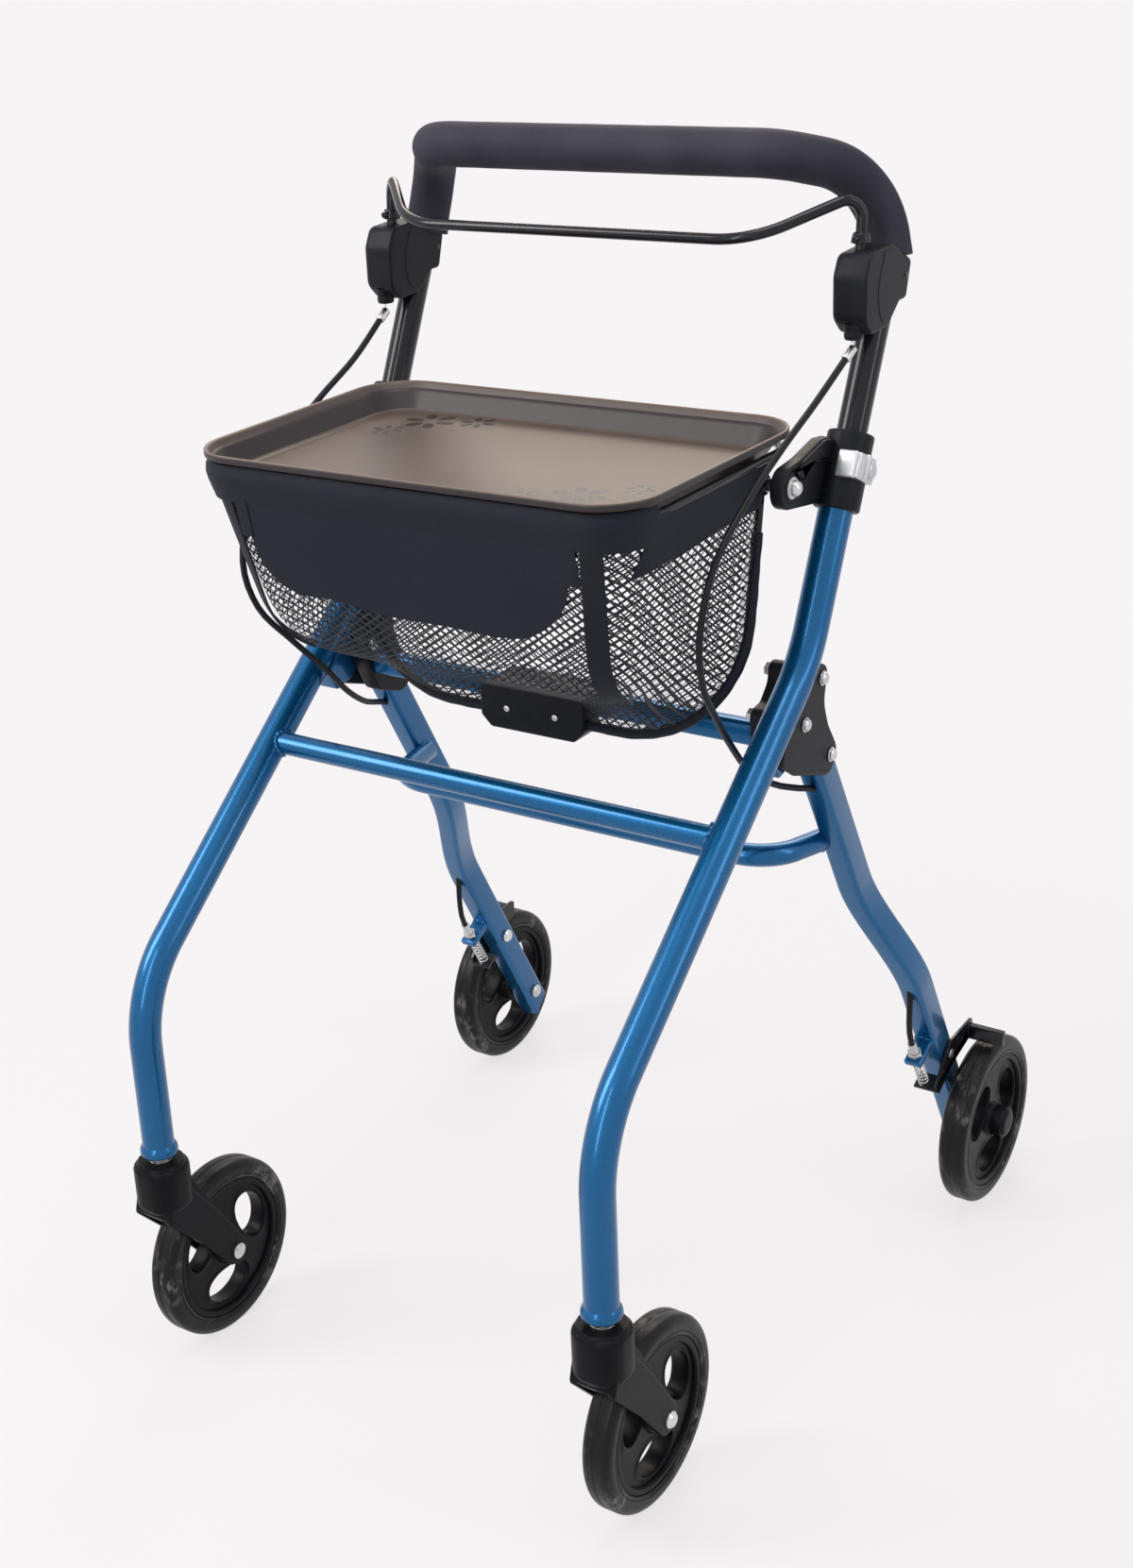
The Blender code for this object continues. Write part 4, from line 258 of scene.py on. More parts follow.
def softened_profile(profile, radius, steps=4):
    """The profile with each inner corner turned on a small arc."""
    points = np.array([(0.0, *pair) for pair in profile])
    rounded = [points[:1]]
    for before, corner, after in zip(points, points[1:], points[2:]):
        room = min(np.linalg.norm(before - corner), np.linalg.norm(after - corner)) * 0.45
        back, ahead = unit(before - corner), unit(after - corner)
        bend = min(radius, room)
        t = np.linspace(0, 1, steps + 1)[:, None]
        start, end = corner + back * bend, corner + ahead * bend
        rounded.append((1 - t) ** 2 * start + 2 * t * (1 - t) * corner + t**2 * end)
    rounded.append(points[-1:])
    return np.concatenate(rounded)[:, 1:]


def outline_of(corners, step=9.0):
    """A closed outline of (y, z) pairs with each corner rounded by its own radius, as an array."""
    count = len(corners)
    places = [(0.0, *place) for place, _ in corners]
    parts = []
    for k, (_, radius) in enumerate(corners):
        path = bent((places[k - 1], places[k], places[(k + 1) % count]), (radius,), step)
        parts.append(path[1:-1])
    return np.concatenate(parts)[:, 1:]


def slab(outline, thickness, middle_x, edge, steps=4, crown=0.0, low_edge=None):
    """A plate in the side plane with rounded edges: inset outlines at growing heights, then closed."""
    outline = even_steps(np.concatenate((outline, outline[:1])), spacing=0.0012)[:-1]
    ahead = unit(np.roll(outline, -1, axis=0) - np.roll(outline, 1, axis=0))
    y, z = outline.T
    area = np.sum(y * np.roll(z, -1) - np.roll(y, -1) * z)
    inward = np.column_stack((-ahead[:, 1], ahead[:, 0])) * math.copysign(1, area)
    inward = unit(sum(np.roll(inward, k, axis=0) for k in (-2, -1, 0, 1, 2)))
    turn = np.linspace(0, math.pi / 2, steps + 1)
    insets, heights = [], []
    for size, sign in ((low_edge or edge, -1), (edge, 1)):
        inset = np.concatenate((size * (1 - np.cos(turn)), [size * 1.6]))
        height = np.concatenate((thickness / 2 - size + size * np.sin(turn), [thickness / 2 + crown * 0.2]))
        insets.append(inset[::-1] if sign < 0 else inset)
        heights.append(-height[::-1] if sign < 0 else height)
    insets, heights = np.concatenate(insets), np.concatenate(heights)
    flat = outline[None] + inward[None] * insets[:, None, None]
    x = np.broadcast_to(heights[:, None, None] + middle_x, (*flat.shape[:2], 1))
    grid = np.concatenate((x, flat), axis=2)
    grid = np.concatenate((grid, grid[:, :1]), axis=1)
    grid = with_caps(grid)
    grid[0, :, 0] -= crown
    grid[-1, :, 0] += crown
    return grid


def block(low, high, edge, turn=None, place=(0, 0, 0)):
    """A box with rounded edges: a round-cornered section lofted up, drawn in at both ends."""
    low, high = np.array(low, dtype=float), np.array(high, dtype=float)
    middle, half = (low + high) / 2, np.abs(high - low) / 2
    quarter = np.linspace(0, math.pi / 2, 4)
    falling, growing = edge * (1 - np.sin(quarter)), edge * (1 - np.cos(quarter))
    heights = np.concatenate((growing - half[2], half[2] - falling))
    rows = []
    for inset, z in zip(np.concatenate((falling, growing)), heights):
        section = oblong_section(half[0] - inset, half[1] - inset, max(edge - inset, edge * 0.15), 5)
        rows.append(np.column_stack((section, np.full(len(section), z))))
    grid = with_caps(np.array(rows)) + middle
    if turn is not None:
        grid = grid @ np.array(turn)
    return grid + np.array(place)


def grid_faces(rows, columns):
    """Quads between neighbouring points of a grid."""
    r, c = np.meshgrid(np.arange(rows - 1), np.arange(columns - 1), indexing="ij")
    corner = r * columns + c
    return np.stack((corner, corner + 1, corner + columns + 1, corner + columns), axis=-1).reshape(-1, 4)


def make_piece(
    name, grids, body, slot, stands_for=(), finish=None, sharp=35, outward=True, maps=None, shade_marks=None
):
    """One object from point grids, with a UV map of running lengths in metres; maps may give it instead."""
    places, faces, lengths = [], [], []
    count = 0
    for grid in grids:
        rows, columns = grid.shape[:2]
        down = np.cumsum(np.linalg.norm(np.diff(grid, axis=0), axis=2), axis=0)
        over = np.cumsum(np.linalg.norm(np.diff(grid, axis=1), axis=2), axis=1)
        u = np.vstack((np.zeros((1, columns)), down))
        v = np.hstack((np.zeros((rows, 1)), over))
        places.append(grid.reshape(-1, 3))
        faces.append(grid_faces(rows, columns) + count)
        lengths.append(np.stack((v, u), axis=-1).reshape(-1, 2))
        if maps is not None:
            lengths[-1] = maps[len(lengths) - 1].reshape(-1, 2)
        count += rows * columns
    places = np.concatenate(places) - np.array((0, MIDDLE_Y, 0))
    faces = np.concatenate(faces)
    mesh = bpy.data.meshes.new(name)
    mesh.from_pydata(places.tolist(), [], faces.tolist())
    layer = mesh.uv_layers.new(name="lengths")
    layer.data.foreach_set("uv", np.concatenate(lengths)[faces.ravel()].ravel())
    # These marks carry painted shade into the finish, as the mark attribute.
    if shade_marks is not None:
        mesh.attributes.new("mark", "FLOAT", "POINT").data.foreach_set("value", shade_marks.ravel())
    return finish_piece(name, mesh, finish or FINISH[slot], body, stands_for, sharp, outward)


def finish_piece(name, mesh, finish, body, stands_for, sharp, outward=True):
    """The mesh welded and smooth between sharp edges, made an object on its body and with its finish."""
    work = bmesh.new()
    work.from_mesh(mesh)
    bmesh.ops.remove_doubles(work, verts=work.verts, dist=0.000002)
    if outward:
        bmesh.ops.recalc_face_normals(work, faces=work.faces)
    work.to_mesh(mesh)
    work.free()
    mesh.shade_smooth()
    mesh.set_sharp_from_angle(angle=math.radians(sharp))
    mesh.materials.clear()
    mesh.materials.append(finish)
    piece = bpy.data.objects.new(name, mesh)
    scene.collection.objects.link(piece)
    if body:
        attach(piece, body)
    if stands_for:
        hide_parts(*stands_for)
    return piece


SOFTENED_SHARP = 40
BEVEL_ANGLE = 28


def softened(node, body, slot, width, segments, finish=None):
    """A copy of a solid with its doubles merged, its flat faces joined and its edges rounded."""
    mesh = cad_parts[node].data.copy()
    mesh.name = node + "_look"
    work = bmesh.new()
    work.from_mesh(mesh)
    bmesh.ops.remove_doubles(work, verts=work.verts, dist=0.00001)
    bmesh.ops.dissolve_limit(work, angle_limit=math.radians(1), verts=work.verts, edges=work.edges)
    work.to_mesh(mesh)
    work.free()
    piece = finish_piece(
        node + "_look", mesh, finish or FINISH[slot], body, (node,), SOFTENED_SHARP
    )
    bevel = piece.modifiers.new("rounded", "BEVEL")
    bevel.width = width
    bevel.segments = segments
    bevel.limit_method = "ANGLE"
    bevel.angle_limit = math.radians(BEVEL_ANGLE)
    bevel.harden_normals = True
    return piece


# Finishes


def fill_inputs(tree, node, inputs):
    """Each socket gets its value, or a link from another node's output."""
    for socket, value in dict(inputs).items():
        if isinstance(value, bpy.types.NodeSocket):
            tree.links.new(value, node.inputs[socket])
        else:
            node.inputs[socket].default_value = value
    return node


def add(tree, kind, inputs=(), **settings):
    """A node of the kind, with its settings and its inputs filled."""
    made = tree.nodes.new("ShaderNode" + kind)
    for key, value in settings.items():
        setattr(made, key, value)
    return fill_inputs(tree, made, inputs)


def ramp(tree, value, low, high, to_low=0.0, to_high=1.0):
    """The value carried straight from the range low to high to another range, and held at its ends."""
    made = add(tree, "MapRange", {"Value": value, "From Min": low, "From Max": high})
    return fill_inputs(tree, made, {"To Min": to_low, "To Max": to_high}).outputs[0]


def noise(tree, place, scale, detail, roughness=0.5):
    """A cloudy pattern between zero and one, finer as its scale, detail and roughness grow."""
    inputs = {"Vector": place, "Scale": scale, "Detail": detail, "Roughness": roughness}
    return add(tree, "TexNoise", inputs).outputs["Fac"]


def new_group(name, inputs, outputs):
    """An empty shared effect with named inputs (name, kind, default) and outputs (name, kind)."""
    tree = bpy.data.node_groups.new(name, "ShaderNodeTree")
    for label, kind, default in inputs:
        socket = tree.interface.new_socket(label, in_out="INPUT", socket_type="NodeSocket" + kind)
        if default is not None:
            socket.default_value = default
    for label, kind in outputs:
        tree.interface.new_socket(label, in_out="OUTPUT", socket_type="NodeSocket" + kind)
    return tree, tree.nodes.new("NodeGroupInput").outputs, tree.nodes.new("NodeGroupOutput").inputs


def use_group(tree, group, inputs):
    """A shared effect placed in a material with its own values."""
    made = tree.nodes.new("ShaderNodeGroup")
    made.node_tree = group
    return fill_inputs(tree, made, inputs)


def math_node(tree, operation, a, b=0.0, clamp=False):
    """The output of one sum on one or two values."""
    return add(tree, "Math", {0: a, 1: b}, operation=operation, use_clamp=clamp).outputs[0]


def make_grain_group():
    """Fine grain and slow drift: two noises, one as a height and one as a tone between zero and one."""
    tree, given, out = new_group(
        "grain",
        (("Vector", "Vector", None), ("Fine", "Float", 900.0), ("Broad", "Float", 18.0)),
        (("Height", "Float"), ("Tone", "Float")),
    )
    tree.links.new(noise(tree, given["Vector"], given["Fine"], 4.0, 0.6), out["Height"])
    tree.links.new(noise(tree, given["Vector"], given["Broad"], 3.0, 0.55), out["Tone"])
    return tree


def make_dust_group():
    """Dust lies where the surface faces up, thinned by a patchy noise."""
    tree, given, out = new_group(
        "dust", (("Vector", "Vector", None), ("Amount", "Float", 0.3)), (("Mask", "Float"),)
    )
    facing = add(tree, "NewGeometry").outputs["Normal"]
    height = add(tree, "SeparateXYZ", {0: facing}).outputs["Z"]
    upward = ramp(tree, height, -0.1, 1.0)
    spread = ramp(tree, noise(tree, given["Vector"], 45.0, 6.0, 0.65), 0.35, 0.75)
    mask = math_node(tree, "MULTIPLY", math_node(tree, "MULTIPLY", upward, spread), given["Amount"], True)
    tree.links.new(mask, out["Mask"])
    return tree


def make_scuff_group():
    """Thin worn streaks: a stretched noise cut to a narrow band, broken up by a second one."""
    tree, given, out = new_group(
        "scuffs",
        (("Vector", "Vector", None), ("Stretch", "Vector", (1, 1, 1)), ("Amount", "Float", 0.5)),
        (("Mask", "Float"),),
    )
    stretched = add(tree, "VectorMath", {0: given["Vector"], 1: given["Stretch"]}, operation="MULTIPLY")
    band = ramp(tree, noise(tree, stretched.outputs[0], 60.0, 8.0, 0.7), 0.50, 0.64)
    where = ramp(tree, noise(tree, given["Vector"], 22.0, 2.0), 0.47, 0.60)
    mask = math_node(tree, "MULTIPLY", math_node(tree, "MULTIPLY", band, where), given["Amount"], True)
    tree.links.new(mask, out["Mask"])
    return tree


def make_weave_group():
    """Two sets of slanting threads: crossing waves, their height and a mask of where there is cloth."""
    tree, given, out = new_group(
        "weave",
        (("Vector", "Vector", None), ("Pitch", "Float", 0.003), ("Open", "Float", 0.5)),
        (("Height", "Float"), ("Cloth", "Float")),
    )
    flat = add(tree, "SeparateXYZ", {0: given["Vector"]}).outputs
    turns = math_node(tree, "DIVIDE", math.tau, given["Pitch"])
    waves = []
    for y_share in (1.0, -1.0):
        along_x = math_node(tree, "MULTIPLY", flat["X"], THREAD_SLANT)
        along_y = math_node(tree, "MULTIPLY", flat["Y"], y_share)
        place = math_node(tree, "ADD", along_x, along_y)
        waves.append(math_node(tree, "COSINE", math_node(tree, "MULTIPLY", place, turns)))
    product = math_node(tree, "MULTIPLY", waves[0], waves[1])
    highest = math_node(tree, "MAXIMUM", waves[0], waves[1])
    cloth = ramp(tree, highest, given["Open"], math_node(tree, "ADD", given["Open"], THREAD_EDGE))
    tree.links.new(cloth, out["Cloth"])
    crossing = math_node(tree, "MULTIPLY", product, 0.4)
    tree.links.new(math_node(tree, "ADD", highest, crossing), out["Height"])
    return tree


def make_petal_group():
    """Rosettes of six petals: round each middle, an ellipse test in polar folds of sixty degrees."""
    tree, given, out = new_group("petals", (("Vector", "Vector", None),), (("Mask", "Float"),))
    flat = add(tree, "SeparateXYZ", {0: given["Vector"]}).outputs

    def calc(operation, a, b=0.0):
        return math_node(tree, operation, a, b)

    def squares(a, b):
        return calc("ADD", calc("MULTIPLY", a, a), calc("MULTIPLY", b, b))

    total = None
    for x, y, size in ROSETTES:
        dx = calc("SUBTRACT", flat["X"], x)
        dy = calc("SUBTRACT", flat["Y"], y)
        fold = calc("PINGPONG", calc("ARCTAN2", dy, dx), math.pi / 6)
        reach = calc("SQRT", squares(dx, dy))
        ahead = calc("SUBTRACT", calc("MULTIPLY", reach, calc("COSINE", fold)), PETAL_MIDDLE * size)
        aside = calc("MULTIPLY", reach, calc("SINE", fold))
        spread = squares(
            calc("DIVIDE", ahead, PETAL_LENGTH * size), calc("DIVIDE", aside, PETAL_WIDTH * size)
        )
        petal = ramp(tree, spread, 1.0, 0.85)
        total = petal if total is None else calc("MAXIMUM", total, petal)
    tree.links.new(total, out["Mask"])
    return tree


THREAD_SLANT = 0.73
THREAD_EDGE = 0.12
PETAL_MIDDLE = 0.62
PETAL_LENGTH = 0.36
PETAL_WIDTH = 0.20
TRAY_FLOOR_FADE = (0.7212, 0.7208)
# Heights over which the walls' painted shade fades in.
TRAY_WALL_SHADE_FADE = (0.7210, 0.7235)
# Heights over which the lip's painted highlight fades in.
TRAY_HIGHLIGHT_FADE = (0.7396, 0.7410)
ROSETTES = (
    (-0.118, -0.002, 0.023),
    (-0.080, 0.008, 0.016),
    (-0.134, -0.036, 0.014),
    (0.102, -0.133, 0.023),
    (0.062, -0.146, 0.016),
    (0.132, -0.104, 0.014),
)
GRAIN = make_grain_group()
DUST = make_dust_group()
SCUFFS = make_scuff_group()
WEAVE = make_weave_group()
PETALS = make_petal_group()
DUST_COLOUR = (0.2, 0.19, 0.18, 1)


def start_finish(name, roughness, metallic=0.0, coat=0.0, coat_roughness=0.1, specular=0.5):
    """A Principled material with its constants on its own sockets, and the place that patterns read."""
    made = bpy.data.materials.new(name)
    made.use_nodes = True
    tree = made.node_tree
    shader = tree.nodes["Principled BSDF"]
    constants = {
        "Roughness": roughness,
        "Metallic": metallic,
        "Coat Weight": coat,
        "Coat Roughness": coat_roughness,
        "Specular IOR Level": specular,
    }
    fill_inputs(tree, shader, constants)
    place = add(tree, "TexCoord").outputs["Object"]
    return made, tree, shader, place


def blend_colour(tree, mask, first, second):
    """The first colour where the mask is zero and the second where it is one."""
    return add(tree, "Mix", {0: mask, 6: first, 7: second}, data_type="RGBA").outputs[2]


def bump(tree, shader, height, strength, distance):
    """The height turned into a normal for the shader."""
    made = add(tree, "Bump", {"Height": height, "Strength": strength, "Distance": distance})
    tree.links.new(made.outputs[0], shader.inputs["Normal"])


def plain_finish(name, dark, light, roughness, fine, bump_strength, dust=0.0, spread=0.12, **settings):
    """A colour that drifts between two tones, with grain in its height and roughness and dust on top."""
    made, tree, shader, place = start_finish(name, roughness, **settings)
    grain = use_group(tree, GRAIN, {"Vector": place, "Fine": fine})
    tone = ramp(tree, grain.outputs["Tone"], 0.3, 0.7)
    colour = blend_colour(tree, tone, (*dark, 1), (*light, 1))
    if dust:
        mask = use_group(tree, DUST, {"Vector": place, "Amount": dust}).outputs["Mask"]
        colour = blend_colour(tree, mask, colour, DUST_COLOUR)
    tree.links.new(colour, shader.inputs["Base Color"])
    low, high = roughness - spread / 2, roughness + spread / 2
    rough = ramp(tree, grain.outputs["Height"], 0.3, 0.7, low, high)
    tree.links.new(rough, shader.inputs["Roughness"])
    bump(tree, shader, grain.outputs["Height"], bump_strength, 0.0004)
    return made


def make_tyre_finish():
    """Dark rubber between two tones, with a fine grain and grey worn streaks round the tread."""
    made, tree, shader, place = start_finish("tyre_rubber", 0.5, specular=0.2)
    grain = use_group(tree, GRAIN, {"Vector": place, "Fine": 1400.0, "Broad": 30.0})
    worn = use_group(tree, SCUFFS, {"Vector": place, "Stretch": (3.0, 1.0, 1.0), "Amount": 1.0})
    scuff = worn.outputs["Mask"]
    base = blend_colour(tree, grain.outputs["Tone"], (0.003, 0.003, 0.004, 1), (0.009, 0.009, 0.010, 1))
    colour = blend_colour(tree, scuff, base, (0.20, 0.195, 0.185, 1))
    tree.links.new(colour, shader.inputs["Base Color"])
    rough = ramp(tree, scuff, 0.0, 1.0, 0.36, 0.8)
    tree.links.new(rough, shader.inputs["Roughness"])
    bump(tree, shader, grain.outputs["Height"], 0.25, 0.0003)
    return made


def make_tray_finish():
    """Brown moulded plastic with a fine grain and dark rosettes printed on its floor; its walls are a
    little darker and its lip's outer face and underside near black, both painted shade, and its lip's crest
    is paler, a painted highlight.
    """
    made, tree, shader, place = start_finish("tray_plastic", 0.36, specular=0.35)
    grain = use_group(tree, GRAIN, {"Vector": place, "Fine": 1300.0, "Broad": 7.0})
    height = add(tree, "SeparateXYZ", {0: place}).outputs["Z"]
    floor = ramp(tree, height, *TRAY_FLOOR_FADE)
    petal = use_group(tree, PETALS, {"Vector": place}).outputs["Mask"]
    mark = math_node(tree, "MULTIPLY", petal, floor)
    low = blend_colour(tree, grain.outputs["Tone"], (0.066, 0.047, 0.040, 1), (0.118, 0.087, 0.070, 1))
    # The walls get a slightly darker copy of the floor's brown: painted shade.
    wall = blend_colour(tree, grain.outputs["Tone"], (0.064, 0.046, 0.043, 1), (0.104, 0.078, 0.072, 1))
    wall_shade = ramp(tree, height, *TRAY_WALL_SHADE_FADE)
    # Marked rows, the lip's outer face and underside, turn near black: painted shade.
    rim = add(tree, "Attribute", attribute_name="mark").outputs["Fac"]
    base = blend_colour(tree, wall_shade, low, wall)
    base = blend_colour(tree, rim, base, (0.026, 0.020, 0.021, 1))
    # The top of the lip turns paler: a painted highlight.
    painted_highlight = ramp(tree, height, *TRAY_HIGHLIGHT_FADE)
    base = blend_colour(tree, painted_highlight, base, (0.150, 0.112, 0.090, 1))
    colour = blend_colour(tree, math_node(tree, "MULTIPLY", mark, 0.8), base, (0.022, 0.018, 0.019, 1))
    tree.links.new(colour, shader.inputs["Base Color"])
    rough = ramp(tree, mark, 0.0, 1.0, 0.42, 0.25)
    tree.links.new(rough, shader.inputs["Roughness"])
    bump(tree, shader, grain.outputs["Height"], 0.12, 0.0003)
    return made


def make_mesh_finish():
    """Open net of black threads: the weave's opening mask drives Alpha, its height the bump."""
    made, tree, shader, _ = start_finish("net_fabric", 0.6, specular=0.2)
    lengths = add(tree, "UVMap", uv_map="lengths").outputs["UV"]
    weave = use_group(tree, WEAVE, {"Vector": lengths, "Pitch": 0.0068, "Open": 0.60})
    tone = noise(tree, lengths, 70.0, 3.0)
    colour = blend_colour(tree, tone, (0.016, 0.018, 0.024, 1), (0.040, 0.044, 0.056, 1))
    tree.links.new(colour, shader.inputs["Base Color"])
    tree.links.new(weave.outputs["Cloth"], shader.inputs["Alpha"])
    bump(tree, shader, weave.outputs["Height"], 0.5, 0.0004)
    return made


def make_cloth_finish(name, dark, light, pitch=0.0007):
    """Close woven nylon: fine crossing threads and slow creases in the tone and the height."""
    made, tree, shader, place = start_finish(name, 0.62, specular=0.18)
    lengths = add(tree, "UVMap", uv_map="lengths").outputs["UV"]
    weave = use_group(tree, WEAVE, {"Vector": lengths, "Pitch": pitch, "Open": 0.1})
    grain = use_group(tree, GRAIN, {"Vector": place, "Fine": 300.0, "Broad": 12.0})
    colour = blend_colour(tree, grain.outputs["Tone"], (*dark, 1), (*light, 1))
    tree.links.new(colour, shader.inputs["Base Color"])
    creases = math_node(tree, "MULTIPLY", grain.outputs["Tone"], 6.0)
    bump(tree, shader, math_node(tree, "ADD", weave.outputs["Height"], creases), 0.35, 0.0003)
    return made


def make_paint_finish():
    """Blue metallic paint: tiny flakes in colour and roughness under a clear coat, with an orange peel."""
    made, tree, shader, place = start_finish("blue_paint", 0.3, 0.62, 0.40, 0.06, specular=0.2)
    grain = use_group(tree, GRAIN, {"Vector": place, "Fine": 260.0, "Broad": 9.0})
    flakes = add(tree, "TexVoronoi", {"Vector": place, "Scale": 1500.0}).outputs["Color"]
    sparkle = add(tree, "SeparateColor", {0: flakes}).outputs[0]
    base = blend_colour(tree, grain.outputs["Tone"], (0.001, 0.086, 0.225, 1), (0.003, 0.114, 0.290, 1))
    lively = math_node(tree, "MULTIPLY", sparkle, 0.08)
    colour = blend_colour(tree, lively, base, (0.03, 0.25, 0.50, 1))
    tree.links.new(colour, shader.inputs["Base Color"])
    rough = ramp(tree, sparkle, 0.0, 1.0, 0.26, 0.36)
    tree.links.new(rough, shader.inputs["Roughness"])
    bump(tree, shader, grain.outputs["Height"], 0.02, 0.0005)
    return made


PLASTIC_BLACKS = (0.006, 0.0065, 0.010), (0.012, 0.013, 0.018)
WHEEL_BLACKS = (0.002, 0.002, 0.003), (0.005, 0.005, 0.007)
PAINT_BLACKS = (0.006, 0.006, 0.009), (0.012, 0.012, 0.017)
CABLE_BLACKS = (0.005, 0.005, 0.008), (0.010, 0.011, 0.015)
FOAM_GREYS = (0.028, 0.027, 0.040), (0.046, 0.044, 0.060)
STEEL_GREYS = (0.50, 0.50, 0.50), (0.74, 0.74, 0.73)
ZINC_GREYS = (0.50, 0.51, 0.53), (0.68, 0.69, 0.71)
FINISH = {
    "blue_paint": make_paint_finish(),
    "black_plastic": plain_finish(
        "black_plastic", *PLASTIC_BLACKS, 0.42, 1600.0, 0.18, dust=0.05, specular=0.14
    ),
    "wheel_plastic": plain_finish(
        "wheel_plastic", *WHEEL_BLACKS, 0.36, 1600.0, 0.15, dust=0.05, specular=0.1
    ),
    "black_paint": plain_finish("black_paint", *PAINT_BLACKS, 0.22, 240.0, 0.015, coat=0.22, specular=0.2),
    "foam": plain_finish("foam", *FOAM_GREYS, 0.74, 1100.0, 0.4, spread=0.1, specular=0.2),
    "steel": plain_finish("steel", *STEEL_GREYS, 0.28, 700.0, 0.06, metallic=1.0),
    "zinc_block": plain_finish("zinc_block", *ZINC_GREYS, 0.36, 500.0, 0.15, metallic=0.85),
    "tyre": make_tyre_finish(),
    "tray_plastic": make_tray_finish(),
    "bag_fabric": make_mesh_finish(),
    "cable": plain_finish("cable", *CABLE_BLACKS, 0.42, 500.0, 0.05, specular=0.2),
}
PANEL = make_cloth_finish("panel_fabric", (0.007, 0.009, 0.016), (0.013, 0.015, 0.025))
BINDING = make_cloth_finish("binding_tape", (0.007, 0.009, 0.015), (0.014, 0.016, 0.025), 0.0011)


# Camera, floor and lights


def make_stage():
    """A floor seen in the backdrop's colour, with a share of real shading near the object."""
    corners = [(x * FLOOR_HALF, y * FLOOR_HALF, 0) for x, y in ((-1, -1), (1, -1), (1, 1), (-1, 1))]
    mesh = bpy.data.meshes.new("floor")
    mesh.from_pydata(corners, [], [(0, 1, 2, 3)])
    floor = bpy.data.objects.new("floor", mesh)
    scene.collection.objects.link(floor)
    made = bpy.data.materials.new("floor")
    made.use_nodes = True
    tree = made.node_tree
    tree.nodes.clear()
    place = add(tree, "TexCoord").outputs["Object"]
    reach = add(tree, "VectorMath", {0: place}, operation="LENGTH").outputs["Value"]
    fade = {"Value": reach, "From Min": 0.5, "From Max": 1.3, "To Min": SHADOW_SHARE, "To Max": 0.0}
    near = add(tree, "MapRange", fade, interpolation_type="SMOOTHSTEP")
    soft = add(tree, "BsdfDiffuse", {"Color": (0.80, 0.78, 0.79, 1)})
    glow = add(tree, "Emission", {"Color": (*BACKDROP, 1), "Strength": 1.0})
    both = add(tree, "MixShader", {0: near.outputs[0], 1: glow.outputs[0], 2: soft.outputs[0]})
    plain = add(tree, "BsdfDiffuse", {"Color": (0.75, 0.74, 0.75, 1)})
    choice = add(tree, "MixShader", {0: seen_directly(tree), 1: plain.outputs[0], 2: both.outputs[0]})
    out = tree.nodes.new("ShaderNodeOutputMaterial")
    tree.links.new(choice.outputs[0], out.inputs["Surface"])
    mesh.materials.append(made)


def seen_directly(tree):
    """One for rays from the camera, a mirror or glass, and zero for the light that falls on things."""
    path = add(tree, "LightPath").outputs
    mirrored = math_node(tree, "MAXIMUM", path["Is Glossy Ray"], path["Is Transmission Ray"])
    return math_node(tree, "MAXIMUM", path["Is Camera Ray"], mirrored)


def make_world():
    """A dim studio with a brighter ceiling; camera, mirrors and glass see the backdrop's colour instead."""
    world = bpy.data.worlds.new("studio")
    world.use_nodes = True
    tree = world.node_tree
    tree.nodes.clear()
    place = add(tree, "TexCoord").outputs["Generated"]
    height = add(tree, "SeparateXYZ", {0: place}).outputs["Z"]
    rise = ramp(tree, height, -0.2, 0.9)
    tone = blend_colour(tree, rise, (0.16, 0.19, 0.26, 1), (0.56, 0.54, 0.52, 1))
    light = add(tree, "Background", {"Color": tone, "Strength": 0.9})
    shown = add(tree, "Background", {"Color": (*BACKDROP, 1), "Strength": 1.0})
    mixed = add(tree, "MixShader", {0: seen_directly(tree), 1: light.outputs[0], 2: shown.outputs[0]})
    out = tree.nodes.new("ShaderNodeOutputWorld")
    tree.links.new(mixed.outputs[0], out.inputs["Surface"])
    scene.world = world


def make_softbox(name, place, target, width, height, power, tint):
    """A rectangular lamp at a place, turned to face its target."""
    lamp = bpy.data.lights.new(name, "AREA")
    lamp.shape = "RECTANGLE"
    lamp.size = width
    lamp.size_y = height
    lamp.energy = power
    lamp.color = tint
    made = bpy.data.objects.new(name, lamp)
    aim = Vector(target) - Vector(place)
    made.matrix_world = Matrix.Translation(place) @ aim.to_track_quat("-Z", "Y").to_matrix().to_4x4()
    scene.collection.objects.link(made)


def make_camera():
    """The camera at the photograph's angle: turned about Z, tilted down and rolled about its own axis."""
    lens = bpy.data.cameras.new("camera")
    lens.sensor_fit = "HORIZONTAL"
    lens.sensor_width = 36.0
    lens.lens = FOCAL_PIXELS * lens.sensor_width / PHOTO_WIDTH
    lens.shift_x = (PHOTO_WIDTH / 2 - PRINCIPAL_X) / PHOTO_WIDTH
    lens.clip_end = 60
    camera = bpy.data.objects.new("camera", lens)
    turn = Matrix.Rotation(math.radians(CAMERA_YAW), 4, "Z")
    tilt = Matrix.Rotation(math.pi / 2 - math.radians(CAMERA_PITCH), 4, "X")
    roll = Matrix.Rotation(math.radians(CAMERA_ROLL), 4, "Z")
    camera.matrix_world = Matrix.Translation(CAMERA_PLACE) @ turn @ tilt @ roll
    scene.collection.objects.link(camera)
    scene.camera = camera


